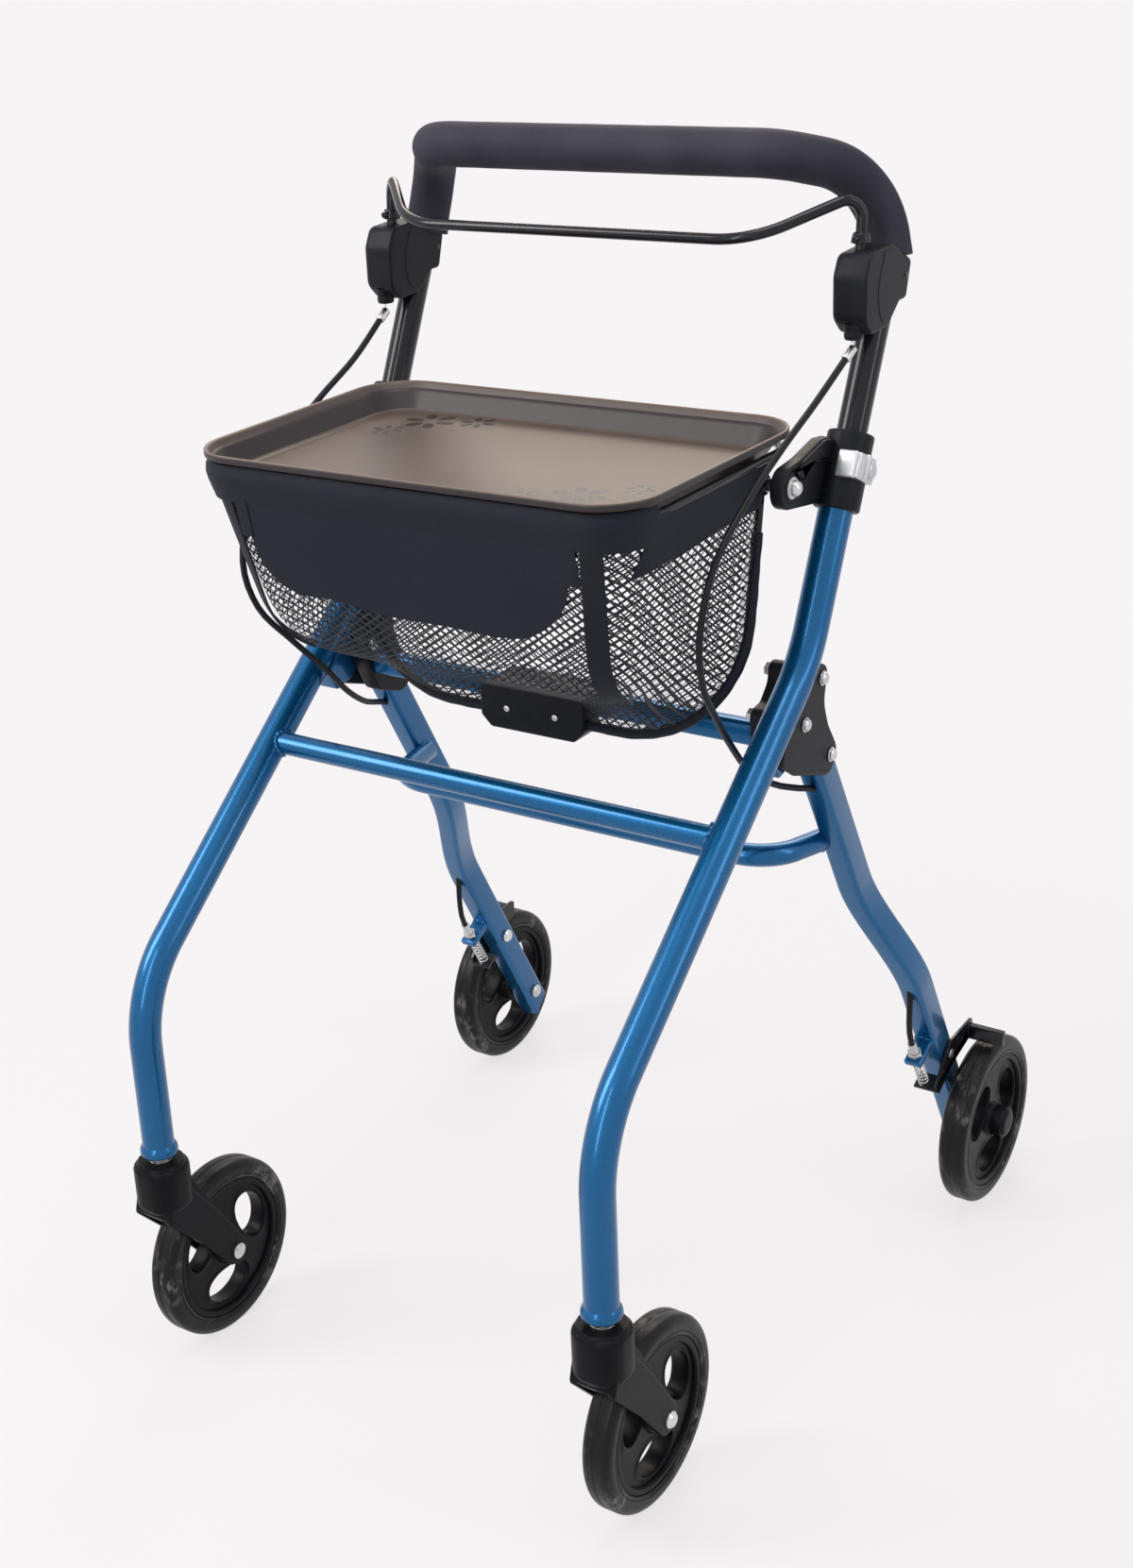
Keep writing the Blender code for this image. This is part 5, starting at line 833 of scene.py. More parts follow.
FLOOR_HALF = 30.0
BACKDROP = (0.930, 0.905, 0.922)
SHADOW_SHARE = 0.22
PHOTO_WIDTH = 1200
PRINCIPAL_X = 480
FOCAL_PIXELS = 2339.1
CAMERA_YAW = 36.648
CAMERA_PITCH = 22.969
CAMERA_ROLL = -3.572
CAMERA_PLACE = (0.8901, -1.3565, 1.1298)
make_camera()
make_stage()
make_world()
make_softbox("key", (-1.6, -1.5, 2.1), (0, 0, 0.5), 0.8, 1.6, 40, (1.0, 0.97, 0.94))
make_softbox("side", (2.2, 0.1, 1.7), (0, 0, 0.5), 0.35, 1.8, 9, (0.86, 0.94, 1.0))
make_softbox("back", (-0.9, 2.1, 2.2), (0, 0, 0.6), 1.6, 0.8, 26, (1.0, 0.86, 0.72))
make_softbox("top", (0.2, -0.2, 2.6), (0, 0, 0.5), 0.9, 0.9, 14, (1.0, 1.0, 1.0))
make_softbox("strip", (0.10, -2.3, 1.5), (0, 0, 0.5), 0.22, 1.9, 14, (0.93, 0.97, 1.0))
scene.view_settings.view_transform = "Standard"


# Cables first, as the room that they take decides the rest


def along_handle(side, distance):
    """A place on the handle tube's line, at a distance up from the main tube's upper bend."""
    return np.array((side * HALF_WIDTH, *UPPER_BEND)) + HANDLE_UP * distance


def leg_middle_x(distance):
    """The leg steps outward on a smooth S between its two straight parts."""
    share = np.clip((np.asarray(distance) - STEP_START) / (STEP_END - STEP_START), 0, 1)
    return LEG_TOP_X + (LEG_FOOT_X - LEG_TOP_X) * share * share * (3 - 2 * share)


def along_leg(side, distance, forward=0.0):
    """A place on the rear leg's line, at a distance down from its pivot and some way forward of it."""
    middle = np.array((side * float(leg_middle_x(distance)), *LEG_PIVOT))
    return middle + LEG_DOWN * distance + LEG_FORWARD * forward


def cable_leg_points(side):
    """The lower cable's route: under the leg, out in front of it and straight into the adjuster."""
    points = [along_leg(side, distance, forward) for forward, distance in CABLE_LEG_ROUTE]
    first = CABLE_LEG_ROUTE[-1][1]
    for k in range(1, CABLE_LEG_STEPS + 1):
        points.append(along_leg(side, first + (CABLE_LEG_LAST - first) * k / CABLE_LEG_STEPS))
    points += [along_leg(side, distance, forward) for forward, distance in CABLE_EXIT_ROUTE]
    points.append(along_leg(side, ADJUSTER_TOP, CABLE_OFFSET))
    return points + [along_leg(side, ADJUSTER_TOP + CABLE_SEATED, CABLE_OFFSET)]


def path_length(path):
    """The sum of the path's steps."""
    return float(np.linalg.norm(np.diff(path, axis=0), axis=1).sum())


def make_cable(name, side):
    """The sheath: its upper length runs between handle and frame, its lower one between frame and leg."""
    nub = np.array((side * NUB_BOTTOM[0], *NUB_BOTTOM[1:]))
    start = nub + np.array((0, -0.0010, -0.0065))
    route = [np.array((side * x, y, z)) for x, y, z in CABLE_ROUTE]
    away = unit(route[0] - start)
    upper = smooth_route([start + away * 0.006, *route], 0.010)
    lower = smooth_route([route[-1], *cable_leg_points(side)], 0.010)
    section = ring_section(CABLE_RADIUS, 16)
    top = make_piece(
        "cable_upper_" + name, [carried(upper, section, ACROSS)], None, "cable", ("brake_cable_" + name,)
    )
    tip = make_ferrule(name, nub, start, away)
    end = make_piece("cable_lower_" + name, [carried(lower, section, ACROSS)], None, "cable")
    make_inner_wire(name, side)
    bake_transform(top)
    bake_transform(end)


def make_ferrule(name, nub, start, away):
    """The sheath's metal end under the housing's nub, with a short run of bare wire."""
    shape = ((0, 0), (0.0036, 0), (0.0036, 0.011), (0.0026, 0.012), (0, 0.012))
    ferrule = turned(softened_profile(shape, 0.0004), start, away, 24)
    bare = np.array((nub + (0, 0, 0.005), start + away * 0.002))
    wire = carried(bare, ring_section(WIRE_CORE, 10), ACROSS)
    return make_piece("cable_ferrule_" + name, [ferrule, wire], "handle", "steel")


def make_inner_wire(name, side):
    """The bare wire below the adjuster, through the spring to the knob under the brake arm's tab."""
    reach = TAB_PLACE - ADJUSTER_TOP
    shape = ((0, 0), (WIRE_CORE, 0), (WIRE_CORE, reach - 0.0015), (WIRE_CORE, reach), (0, reach))
    inner = turned(shape, along_leg(side, ADJUSTER_TOP + 0.004, CABLE_OFFSET), LEG_DOWN, 10)
    knob_place = along_leg(side, TAB_PLACE + 0.0015, CABLE_OFFSET)
    knob = disc(0.0024, 0, 0.004, 0.0005, knob_place, LEG_DOWN, 20)
    make_piece("cable_inner_" + name, [inner, knob], "rear_frame", "steel")


WIRE_CORE = 0.0008
CABLE_SEATED = 0.0077
for side_name, side_sign in SIDES:
    make_cable(side_name, side_sign)


# Tubes


def bead(centre_line, radius, ripples, seed):
    """A weld bead: a thin ring along the joint whose thickness swells and falls with two sines."""
    turn = np.linspace(0, math.tau, len(centre_line))
    swell = 1 + 0.22 * np.sin(turn * ripples + seed) + 0.1 * np.sin(turn * 5 + 2 * seed)
    slanting = unit(np.array((0.3, 0.5, 0.8)))
    sizes = np.append(swell[:-1], swell[0])
    return carried(centre_line[:-1], ring_section(radius, 12), slanting, sizes, closed=True)


def saddle(centre, radius, joined_x, joined_radius, direction, side):
    """The line where a tube across meets a round tube: x stands back from its axis by half a chord."""
    angle = np.linspace(0, math.tau, 73)
    y, z = radius * np.cos(angle), radius * np.sin(angle)
    apart = y * direction[2] - z * direction[1]
    x = side * (joined_x - np.sqrt(np.maximum(joined_radius**2 - apart**2, 0)))
    return np.column_stack((x, centre[0] + y, centre[1] + z))


def make_main_tube(name, side):
    """The bent tube from the caster's stem to the collar, with its swelling foot and its hinge gusset."""
    x = side * HALF_WIDTH
    corners = [(x, 0, TUBE_FOOT), (x, *LOWER_BEND), (x, *UPPER_BEND), along_handle(side, TUBE_END)]
    tube = carried(bent(corners, (0.100, 0.120), 2.0), ring_section(TUBE_RADIUS, 48), ACROSS)
    ring = ((0, 0), (0.0142, 0), (0.0152, 0.0022), (0.0150, 0.0052), (0.0138, 0.0078), (0.0126, 0.0095))
    foot = turned(softened_profile(ring, 0.0012), (x, 0, TUBE_FOOT), UP, 48)
    gusset = slab(outline_of(GUSSET_CORNERS), 0.0196, side * LEG_TOP_X, 0.0015)
    make_piece(
        "main_tube_look_" + name, [tube, foot, gusset], "front_frame", "blue_paint", ("main_tube_" + name,)
    )


GUSSET_CORNERS = (
    ((0.2400, 0.5200), 0.002),
    ((0.2500, 0.5020), 0.004),
    ((0.2700, 0.5070), 0.010),
    ((0.2980, 0.5310), 0.010),
    ((0.3165, 0.5540), 0.008),
    ((0.3175, 0.5690), 0.006),
    ((0.3020, 0.5780), 0.002),
)


def make_cross_tubes():
    """The front and rear cross tubes with a weld bead at each end, and the flat-sided upper cross tube."""
    rise = (UPPER_BEND[1] - LOWER_BEND[1]) / UPPER_BEND[0]
    place = (FRONT_CROSS_Y, LOWER_BEND[1] + FRONT_CROSS_Y * rise)
    slope = unit(np.array((0, 1.0, rise)))
    ends = np.array(((-0.2, *place), (0.2, *place)))
    grids = [carried(ends, ring_section(CROSS_RADIUS, 40), UP)]
    for side in (1, -1):
        line = saddle(place, CROSS_RADIUS + 0.0004, HALF_WIDTH, TUBE_RADIUS + 0.0003, slope, side)
        grids.append(bead(line, BEAD_RADIUS, 17, side))
    make_piece("front_cross_look", grids, "front_frame", "blue_paint", ("front_cross_tube",))

    reach = LEG_TOP_X - LEG_WIDTH / 2 - HINGE_GAP - INNER_SHELL - SEAT_GAP
    ends = np.array(((-reach, *UPPER_CROSS), (reach, *UPPER_CROSS)))
    upper = carried(ends, oblong_section(0.0065, 0.0095, 0.004), BACK)
    make_piece("upper_cross_look", [upper], "front_frame", "blue_paint", ("upper_cross_tube",))

    path = bent(both_sides(REAR_CROSS_ROUTE), (0.038, 0.038))
    grids = [carried(path, ring_section(CROSS_RADIUS, 40), UP)]
    for side in (1, -1):
        angle = np.linspace(0, math.tau, 61)[:, None]
        spokes = np.cos(angle) * BACK + np.sin(angle) * UP
        line = np.array((side * REAR_WELD[0], *REAR_WELD[1:])) + spokes * CROSS_RADIUS * 1.04
        grids.append(bead(line, BEAD_RADIUS, 15, side + 2))
    make_piece("rear_cross_look", grids, "rear_frame", "blue_paint", ("rear_cross_tube",))


UPPER_CROSS = (0.286, 0.5185)
REAR_CROSS_ROUTE = ((-0.193, 0.368, 0.406), (-0.176, 0.300, 0.410))
REAR_WELD = (0.1912, 0.362, 0.4064)
BEAD_RADIUS = 0.0017
BELOW_AXLE = 0.022
LEG_FOOT_SLANT = 0.30


def make_rear_leg(name, side):
    """A round-cornered oblong tube down the leg's line, stepping outward, with the welded lug."""
    radius = LEG_DEPTH / 2
    crown = radius * -np.cos(np.linspace(0.15, math.pi / 2, 8))
    step = np.linspace(STEP_START, STEP_END, 25)
    foot = [0.34, 0.42, LEG_TO_AXLE + BELOW_AXLE]
    distance = np.concatenate((crown, np.linspace(0.03, 0.14, 4), step, foot))
    depth = np.where(distance < 0, np.sqrt(np.maximum(radius**2 - distance**2, 0)), radius)
    rows = []
    for place, half in zip(distance, depth):
        section = oblong_section(LEG_WIDTH / 2, half, min(0.004, half * 0.8))
        slant = LEG_FOOT_SLANT if place == distance[-1] else 0
        middle = along_leg(side, place)
        rows.append(middle + section[:, :1] * ACROSS + section[:, 1:] * (LEG_FORWARD + LEG_DOWN * slant))
    turn = (ACROSS, LEG_FORWARD, LEG_DOWN)
    lug = block(
        (-0.0075, 0.0095, -0.003), (0.0075, 0.0385, 0.003), 0.0012, turn, along_leg(side, LUG_PLACE)
    )
    middle = along_leg(side, LUG_PLACE, radius)
    angle = np.linspace(0, math.tau, 49)[:, None]
    line = middle + 0.0078 * np.cos(angle) * ACROSS + 0.0034 * np.sin(angle) * LEG_DOWN
    weld = bead(line, 0.0013, 11, side)
    make_piece(
        "rear_leg_look_" + name,
        [with_caps(np.array(rows)), lug, weld],
        "rear_frame",
        "blue_paint",
        ("rear_leg_" + name,),
    )


# Wheels


def tyre_profile():
    """Half a round shoulder on each side of a nearly flat tread, with a fine groove at each seam."""
    half, inner, depth, width = 0.012, 0.060, 0.0075, 0.0065
    turn = np.linspace(0, math.pi / 2, 9)
    shoulder_r = WHEEL_RADIUS - depth + depth * np.sin(turn)
    shoulder_x = half - width + width * np.cos(turn)
    seam = np.array(((0, 0.0012), (0.0022, 0.0002), (0.0030, 0.0008), (0.0038, 0.0001)))
    side = (inner, half) + seam * (1, -1)
    right = np.concatenate((side, np.column_stack((shoulder_r, shoulder_x))))
    tread = (WHEEL_RADIUS, 0) - np.array(((0, -0.0018), (0.0005, -0.0011), (0.0005, 0.0011), (0, 0.0018)))
    left = right[::-1] * (1, -1)
    profile = np.concatenate((right, tread, left))
    return np.concatenate((profile, profile[:1]))


def web_sector(turn, centre, half, outside):
    """A third of the wheel's disc: a grid from its border over the round lip and through the opening."""
    angle = np.linspace(0, math.tau, 97)
    hole_middle, hole_height, hole_width = 0.0345, 0.0150, 0.0240
    hole_r = hole_middle + hole_height * np.cos(angle)
    hole_t = hole_width * np.sin(angle) / hole_middle
    inner, outer, third = 0.0115, 0.0565, math.pi / 3
    across, along = np.cos(angle), np.sin(angle)
    scale = 1 / np.maximum(np.abs(across), np.abs(along))
    border_r = (inner + outer) / 2 + (outer - inner) / 2 * across * scale
    border_t = third * along * scale
    share = np.array((1.0, 0.7, 0.45, 0.27, 0.16, 0.09, 0.04, 0.012))
    radius = hole_r + (border_r - hole_r) * share[:, None]
    swing = hole_t + (border_t - hole_t) * share[:, None]
    lip = 0.0009 * np.exp(-(((share - 0.13) / 0.08) ** 2))
    height = half + lip - 0.0016 * np.exp(-((share / 0.02) ** 2))
    radius = np.concatenate((radius, [hole_r, hole_r], radius[::-1]))
    swing = np.concatenate((swing, [hole_t, hole_t], swing[::-1]))
    x = np.concatenate((height, [half - 0.0022, 0.0022 - half], -height[::-1]))
    y = radius * np.cos(swing + turn)
    z = radius * np.sin(swing + turn)
    x = np.broadcast_to(x[:, None] * outside, y.shape)
    return np.stack((x, y, z), axis=-1) + centre


def make_wheel(label, name, body, centre, side, hub_profile):
    """A wheel's core, three thirds of its disc with rim and hub, and the tyre round it."""
    centre = np.array(centre, dtype=float)
    half_rim = ((0.0540, 0.0075), (0.0550, 0.0105), (0.0598, 0.0105))
    other_half = tuple((radius, -x) for radius, x in reversed(half_rim))
    rim = softened_profile((*half_rim, *other_half, half_rim[0]), 0.0012)
    grids = [web_sector(SPOKE_TURN + math.tau * k / 3, centre, WEB_HALF, side) for k in range(3)]
    grids.append(turned(rim, centre, (side, 0, 0), 96))
    grids.append(turned(hub_profile, centre, (side, 0, 0), 48))
    make_piece(
        label + "_wheel_look_" + name,
        grids,
        body,
        "black_plastic",
        (label + "_wheel_core_" + name,),
        FINISH["wheel_plastic"],
    )
    tyre = turned(tyre_profile(), centre, (side, 0, 0), 128)
    make_piece(label + "_tyre_look_" + name, [tyre], body, "tyre", (label + "_tyre_" + name,))


SPOKE_TURN = math.radians(25)
WEB_HALF = 0.0072
HALF_HUB = ((0, 0.0125), (0.0110, 0.0125), (0.0135, 0.0100), (0.0155, 0.0060))
CASTER_HUB = softened_profile((*((radius, -x) for radius, x in HALF_HUB), *reversed(HALF_HUB)), 0.001)
REAR_HUB = softened_profile(
    (
        (0, -0.0169),
        (0.0110, -0.0169),
        (0.0135, -0.0140),
        (0.0160, -0.0065),
        (0.0160, 0.0070),
        (0.0135, 0.0100),
        (0.0135, 0.0200),
        (0.0110, 0.0226),
        (0.0070, 0.0230),
        (0, 0.0230),
    ),
    0.0016,
)


# Handle, foam, brake bar and housings


def make_handle():
    """The bent handle tube and, above its straight ends, the foam grip with its thicker rolled ends."""
    bottom = COLLAR_PLACE + COLLAR_LENGTH - HANDLE_OVERLAP
    elbow = (ELBOW_Z - UPPER_BEND[1]) / HANDLE_UP[2]
    corners = both_sides((along_handle(1, bottom), along_handle(1, elbow), HANDLE_CORNER))
    path = bent(corners, (0.061, 0.033, 0.033, 0.061), 3.0)
    tube = carried(path, ring_section(0.0111, 40), BACK)
    make_piece("handle_look", [tube], "handle", "black_paint", ("handle_tube",))

    above = path[path[:, 2] > FOAM_FOOT + 0.0005]
    ahead = unit(above[1] - above[0])
    start = above[0] - ahead * (above[0, 2] - FOAM_FOOT) / ahead[2]
    path = even_steps(np.concatenate((start[None], above, (start * MIRROR)[None])), spacing=FOAM_STEP)
    place = np.arange(len(path))
    run = np.minimum(place, place[::-1]) * FOAM_STEP
    radius = FOAM_RADIUS * (1 + 0.07 * np.exp(-((run / 0.006) ** 2)))
    lumps = 1 + 0.004 * np.sin(place * 0.61) * np.sin(place * 0.23 + 1)
    body = carried(path, ring_section(1.0, 56), BACK, radius * lumps, capped=False)

    def rolled(end, beside, ring):
        """Rings drawn in from the grip's last one, a little past its end."""
        return [end + (ring - end) * share + unit(end - beside) * past for share, past in FOAM_ROLL]

    first = rolled(path[0], path[1], body[0])
    last = rolled(path[-1], path[-2], body[-1])[::-1]
    foam = make_piece("foam_look", [np.concatenate((first, body, last))], "handle", "foam", ("grip_foam",))


ELBOW_Z = 0.893
HANDLE_CORNER = (0.149, 0.368, 0.920)
FOAM_FOOT = 0.8425
FOAM_RADIUS = 0.0170
FOAM_STEP = 0.004
FOAM_ROLL = ((0.69, 0.0), (0.80, 0.0004), (0.93, 0.0003))


def make_brake_bar():
    """The bar from lever to lever, with each lever's eye, pin, boss and stub."""
    path = bent(both_sides(BAR_ROUTE), (0.012, 0.062, 0.062, 0.012), 6.0)
    grids = [carried(path, ring_section(0.0040, 24), BACK)]
    rise = unit(np.array((0, 0.006, 0.069)))
    boss = softened_profile(((0, 0), (0.0072, 0), (0.0064, 0.0050), (0.0056, 0.0078), (0, 0.0078)), 0.0012)
    for side in (1, -1):
        pivot = np.array((side * HALF_WIDTH, *LEVER_PIVOT))
        grids.append(disc(0.0062, -0.0046, 0.0046, 0.0008, pivot, ACROSS, 28))
        grids.append(disc(0.0025, -0.0085, 0.0085, 0, pivot, ACROSS, 20))
        root = pivot + rise * 0.0345
        grids.append(turned(boss, root, rise, 28))
        grids.append(disc(0.0023, 0, 0.0110, 0.0006, root + rise * 0.0045, -BACK, 16))
    make_piece("brake_bar_look", grids, "brake_lever", "black_paint", ("brake_bar",))


BAR_ROUTE = ((HALF_WIDTH, *LEVER_PIVOT), (0.205, 0.386, 0.893), (0.148, 0.325, 0.867))
HOUSING_X = 0.2062


def make_housing(name, side):
    """One shell round lever root and tube, well rounded on one side, with its seam, boot and screw."""
    shell = slab(outline_of(HOUSING_CORNERS, 5.0), 0.0275, side * HOUSING_X, 0.0018, 6, 0.0003, 0.0062)
    seam = slab(outline_of(SEAM_CORNERS, 5.0), 0.0287, side * HOUSING_X, 0.0010, 4, 0.0, 0.0058)
    nub = softened_profile(
        ((0.0043, 0.0), (0.0062, 0.0), (0.0069, 0.0030), (0.0066, 0.0060), (0.0080, 0.0120)), 0.0008
    )
    boot = turned(nub, (side * NUB_BOTTOM[0], NUB_BOTTOM[1], NUB_BOTTOM[2] - 0.0002), UP, 32)
    make_piece(
        "housing_look_" + name, [shell, seam, boot], "handle", "black_plastic", ("brake_housing_" + name,)
    )
    screw = turned(dome(0.0026, 0.0010, 0.0), (side * HOUSING_X + 0.0140, 0.4250, 0.8300), ACROSS, 20)
    make_piece("housing_screw_" + name, [screw], "handle", "black_paint")


HOUSING_CORNERS = (
    ((0.3690, 0.8540), 0.008),
    ((0.4050, 0.8555), 0.012),
    ((0.4345, 0.8400), 0.003),
    ((0.4265, 0.8130), 0.003),
    ((0.4160, 0.8130), 0.006),
    ((0.3980, 0.7985), 0.012),
    ((0.3720, 0.7970), 0.007),
    ((0.3610, 0.8080), 0.012),
    ((0.3610, 0.8390), 0.014),
)
SEAM_CORNERS = (
    ((0.3900, 0.8530), 0.006),
    ((0.4050, 0.8535), 0.010),
    ((0.4337, 0.8392), 0.003),
    ((0.4261, 0.8140), 0.003),
    ((0.4156, 0.8140), 0.006),
    ((0.3975, 0.7997), 0.010),
    ((0.3840, 0.8040), 0.014),
    ((0.3780, 0.8270), 0.030),
)


# Hinges, collars and small parts


SHELL_CORNERS = (
    ((0.2975, 0.5760), 0.006),
    ((0.3165, 0.5690), 0.008),
    ((0.3105, 0.5420), 0.020),
    ((0.3170, 0.5230), 0.030),
    ((0.3350, 0.4960), 0.014),
    ((0.3200, 0.4800), 0.012),
    ((0.2650, 0.5000), 0.006),
    ((0.2420, 0.5160), 0.006),
    ((0.2560, 0.5400), 0.008),
    ((0.2750, 0.5520), 0.010),
)
INNER_CORNERS = (
    ((0.2985, 0.5700), 0.007),
    ((0.3150, 0.5700), 0.008),
    ((0.3105, 0.5420), 0.020),
    ((0.3170, 0.5230), 0.030),
    ((0.3350, 0.4960), 0.014),
    ((0.3200, 0.4800), 0.012),
    ((0.2850, 0.4930), 0.010),
    ((0.2700, 0.5230), 0.008),
    ((0.2700, 0.5420), 0.007),
    ((0.2860, 0.5440), 0.008),
    ((0.2975, 0.5560), 0.010),
)
HINGE_BOLTS = (
    ("hinge_bolt_top_", (0.3062, 0.5619)),
    ("hinge_bolt_middle_", (0.2788, 0.5352)),
    ("leg_pivot_bolt_", LEG_PIVOT),
)


def hex_prism(radius, low, high, base, axis, edge=0.0004):
    """A six-sided nut: the radius of a hexagon in each direction, drawn in a little at both ends."""
    steps = 48
    folded = np.mod(np.linspace(0, math.tau, steps + 1), math.pi / 3) - math.pi / 6
    shape = radius * math.cos(math.pi / 6) / np.cos(folded)
    axis = np.array(axis, dtype=float)
    spokes = spokes_round(axis, steps)
    rows = []
    for inset, height in ((edge, low), (0, low + edge), (0, high - edge), (edge, high)):
        rows.append(np.array(base) + spokes * (shape - inset)[:, None] + axis * height)
    return with_caps(np.array(rows))


def dome(radius, height, start):
    """The outline of a domed head: a quarter of an ellipse over a short straight side."""
    turn = np.linspace(math.pi / 2, 0, 9)
    cap = np.column_stack((radius * np.cos(turn), start + height * 0.35 + height * 0.65 * np.sin(turn)))
    return np.concatenate((cap, ((radius, start), (0, start))))


def make_hinge(name, side):
    """The hinge's outer and inner plates and, through both, three bolts with washers and domed nuts."""
    outer_x = LEG_TOP_X + LEG_WIDTH / 2 + HINGE_GAP + OUTER_SHELL / 2
    inner_x = LEG_TOP_X - LEG_WIDTH / 2 - HINGE_GAP - INNER_SHELL / 2
    outer = slab(outline_of(SHELL_CORNERS), OUTER_SHELL, side * outer_x, 0.0021, 6)
    make_piece(
        "hinge_outer_look_" + name, [outer], "front_frame", "black_plastic", ("hinge_shell_outer_" + name,)
    )
    inner = slab(outline_of(INNER_CORNERS), INNER_SHELL, side * inner_x, 0.0022)
    make_piece(
        "hinge_inner_look_" + name, [inner], "front_frame", "black_plastic", ("hinge_shell_inner_" + name,)
    )
    outside = side * (outer_x + OUTER_SHELL / 2 + SEAT_GAP)
    inside = side * (inner_x - INNER_SHELL / 2 - SEAT_GAP)
    outward, inward = (side, 0, 0), (-side, 0, 0)
    for label, place in HINGE_BOLTS:
        base, end = (outside, *place), (inside, *place)
        head = turned(dome(0.0046, 0.0036, 0.0006), base, outward, 32)
        washer = disc(0.0056, 0, 0.0008, 0.0003, base, outward, 32)
        nut = hex_prism(0.0052, 0.0, 0.0042, end, inward)
        cap = turned(dome(0.0042, 0.0046, 0.0014), end, inward, 28)
        make_piece(
            label + "look_" + name, [head, washer, nut, cap], "front_frame", "steel", (label + name,)
        )


def make_stem(name, side):
    """The caster's stem with its nut and washer under the main tube's foot."""
    base = (side * HALF_WIDTH, 0, 0.1893)
    nut = hex_prism(0.0082, 0.0, 0.0060, base, UP, 0.0006)
    stem = disc(0.005, -0.03, 0.03, 0, base, UP, 24)
    washer = disc(0.0095, -0.0002, 0.0010, 0.0003, base, UP, 40)
    make_piece(
        "caster_stem_look_" + name, [nut, stem, washer], "front_frame", "steel", ("caster_stem_" + name,)
    )


def make_adjuster(name, side):
    """A threaded barrel, whose radius rises and falls with a fine triangle wave, with two hexagon nuts."""
    base = along_leg(side, ADJUSTER_TOP, CABLE_OFFSET)
    height = np.linspace(0, ADJUSTER_END - ADJUSTER_TOP, 91)
    ridge = 0.00035 * np.abs(np.mod(height / 0.0009, 1) * 2 - 1)
    barrel = np.column_stack((0.0036 - ridge, height))
    barrel = np.concatenate((((0.0026, 0.0),), barrel, ((0.0015, height[-1]),)))
    nut = hex_prism(0.0062, 0.0123, 0.0176, base, LEG_DOWN)
    lower = hex_prism(0.0058, 0.0243, 0.0275, base, LEG_DOWN)
    make_piece(
        "adjuster_look_" + name,
        [turned(barrel, base, LEG_DOWN, 28), nut, lower],
        "rear_frame",
        "steel",
        ("cable_adjuster_" + name,),
    )


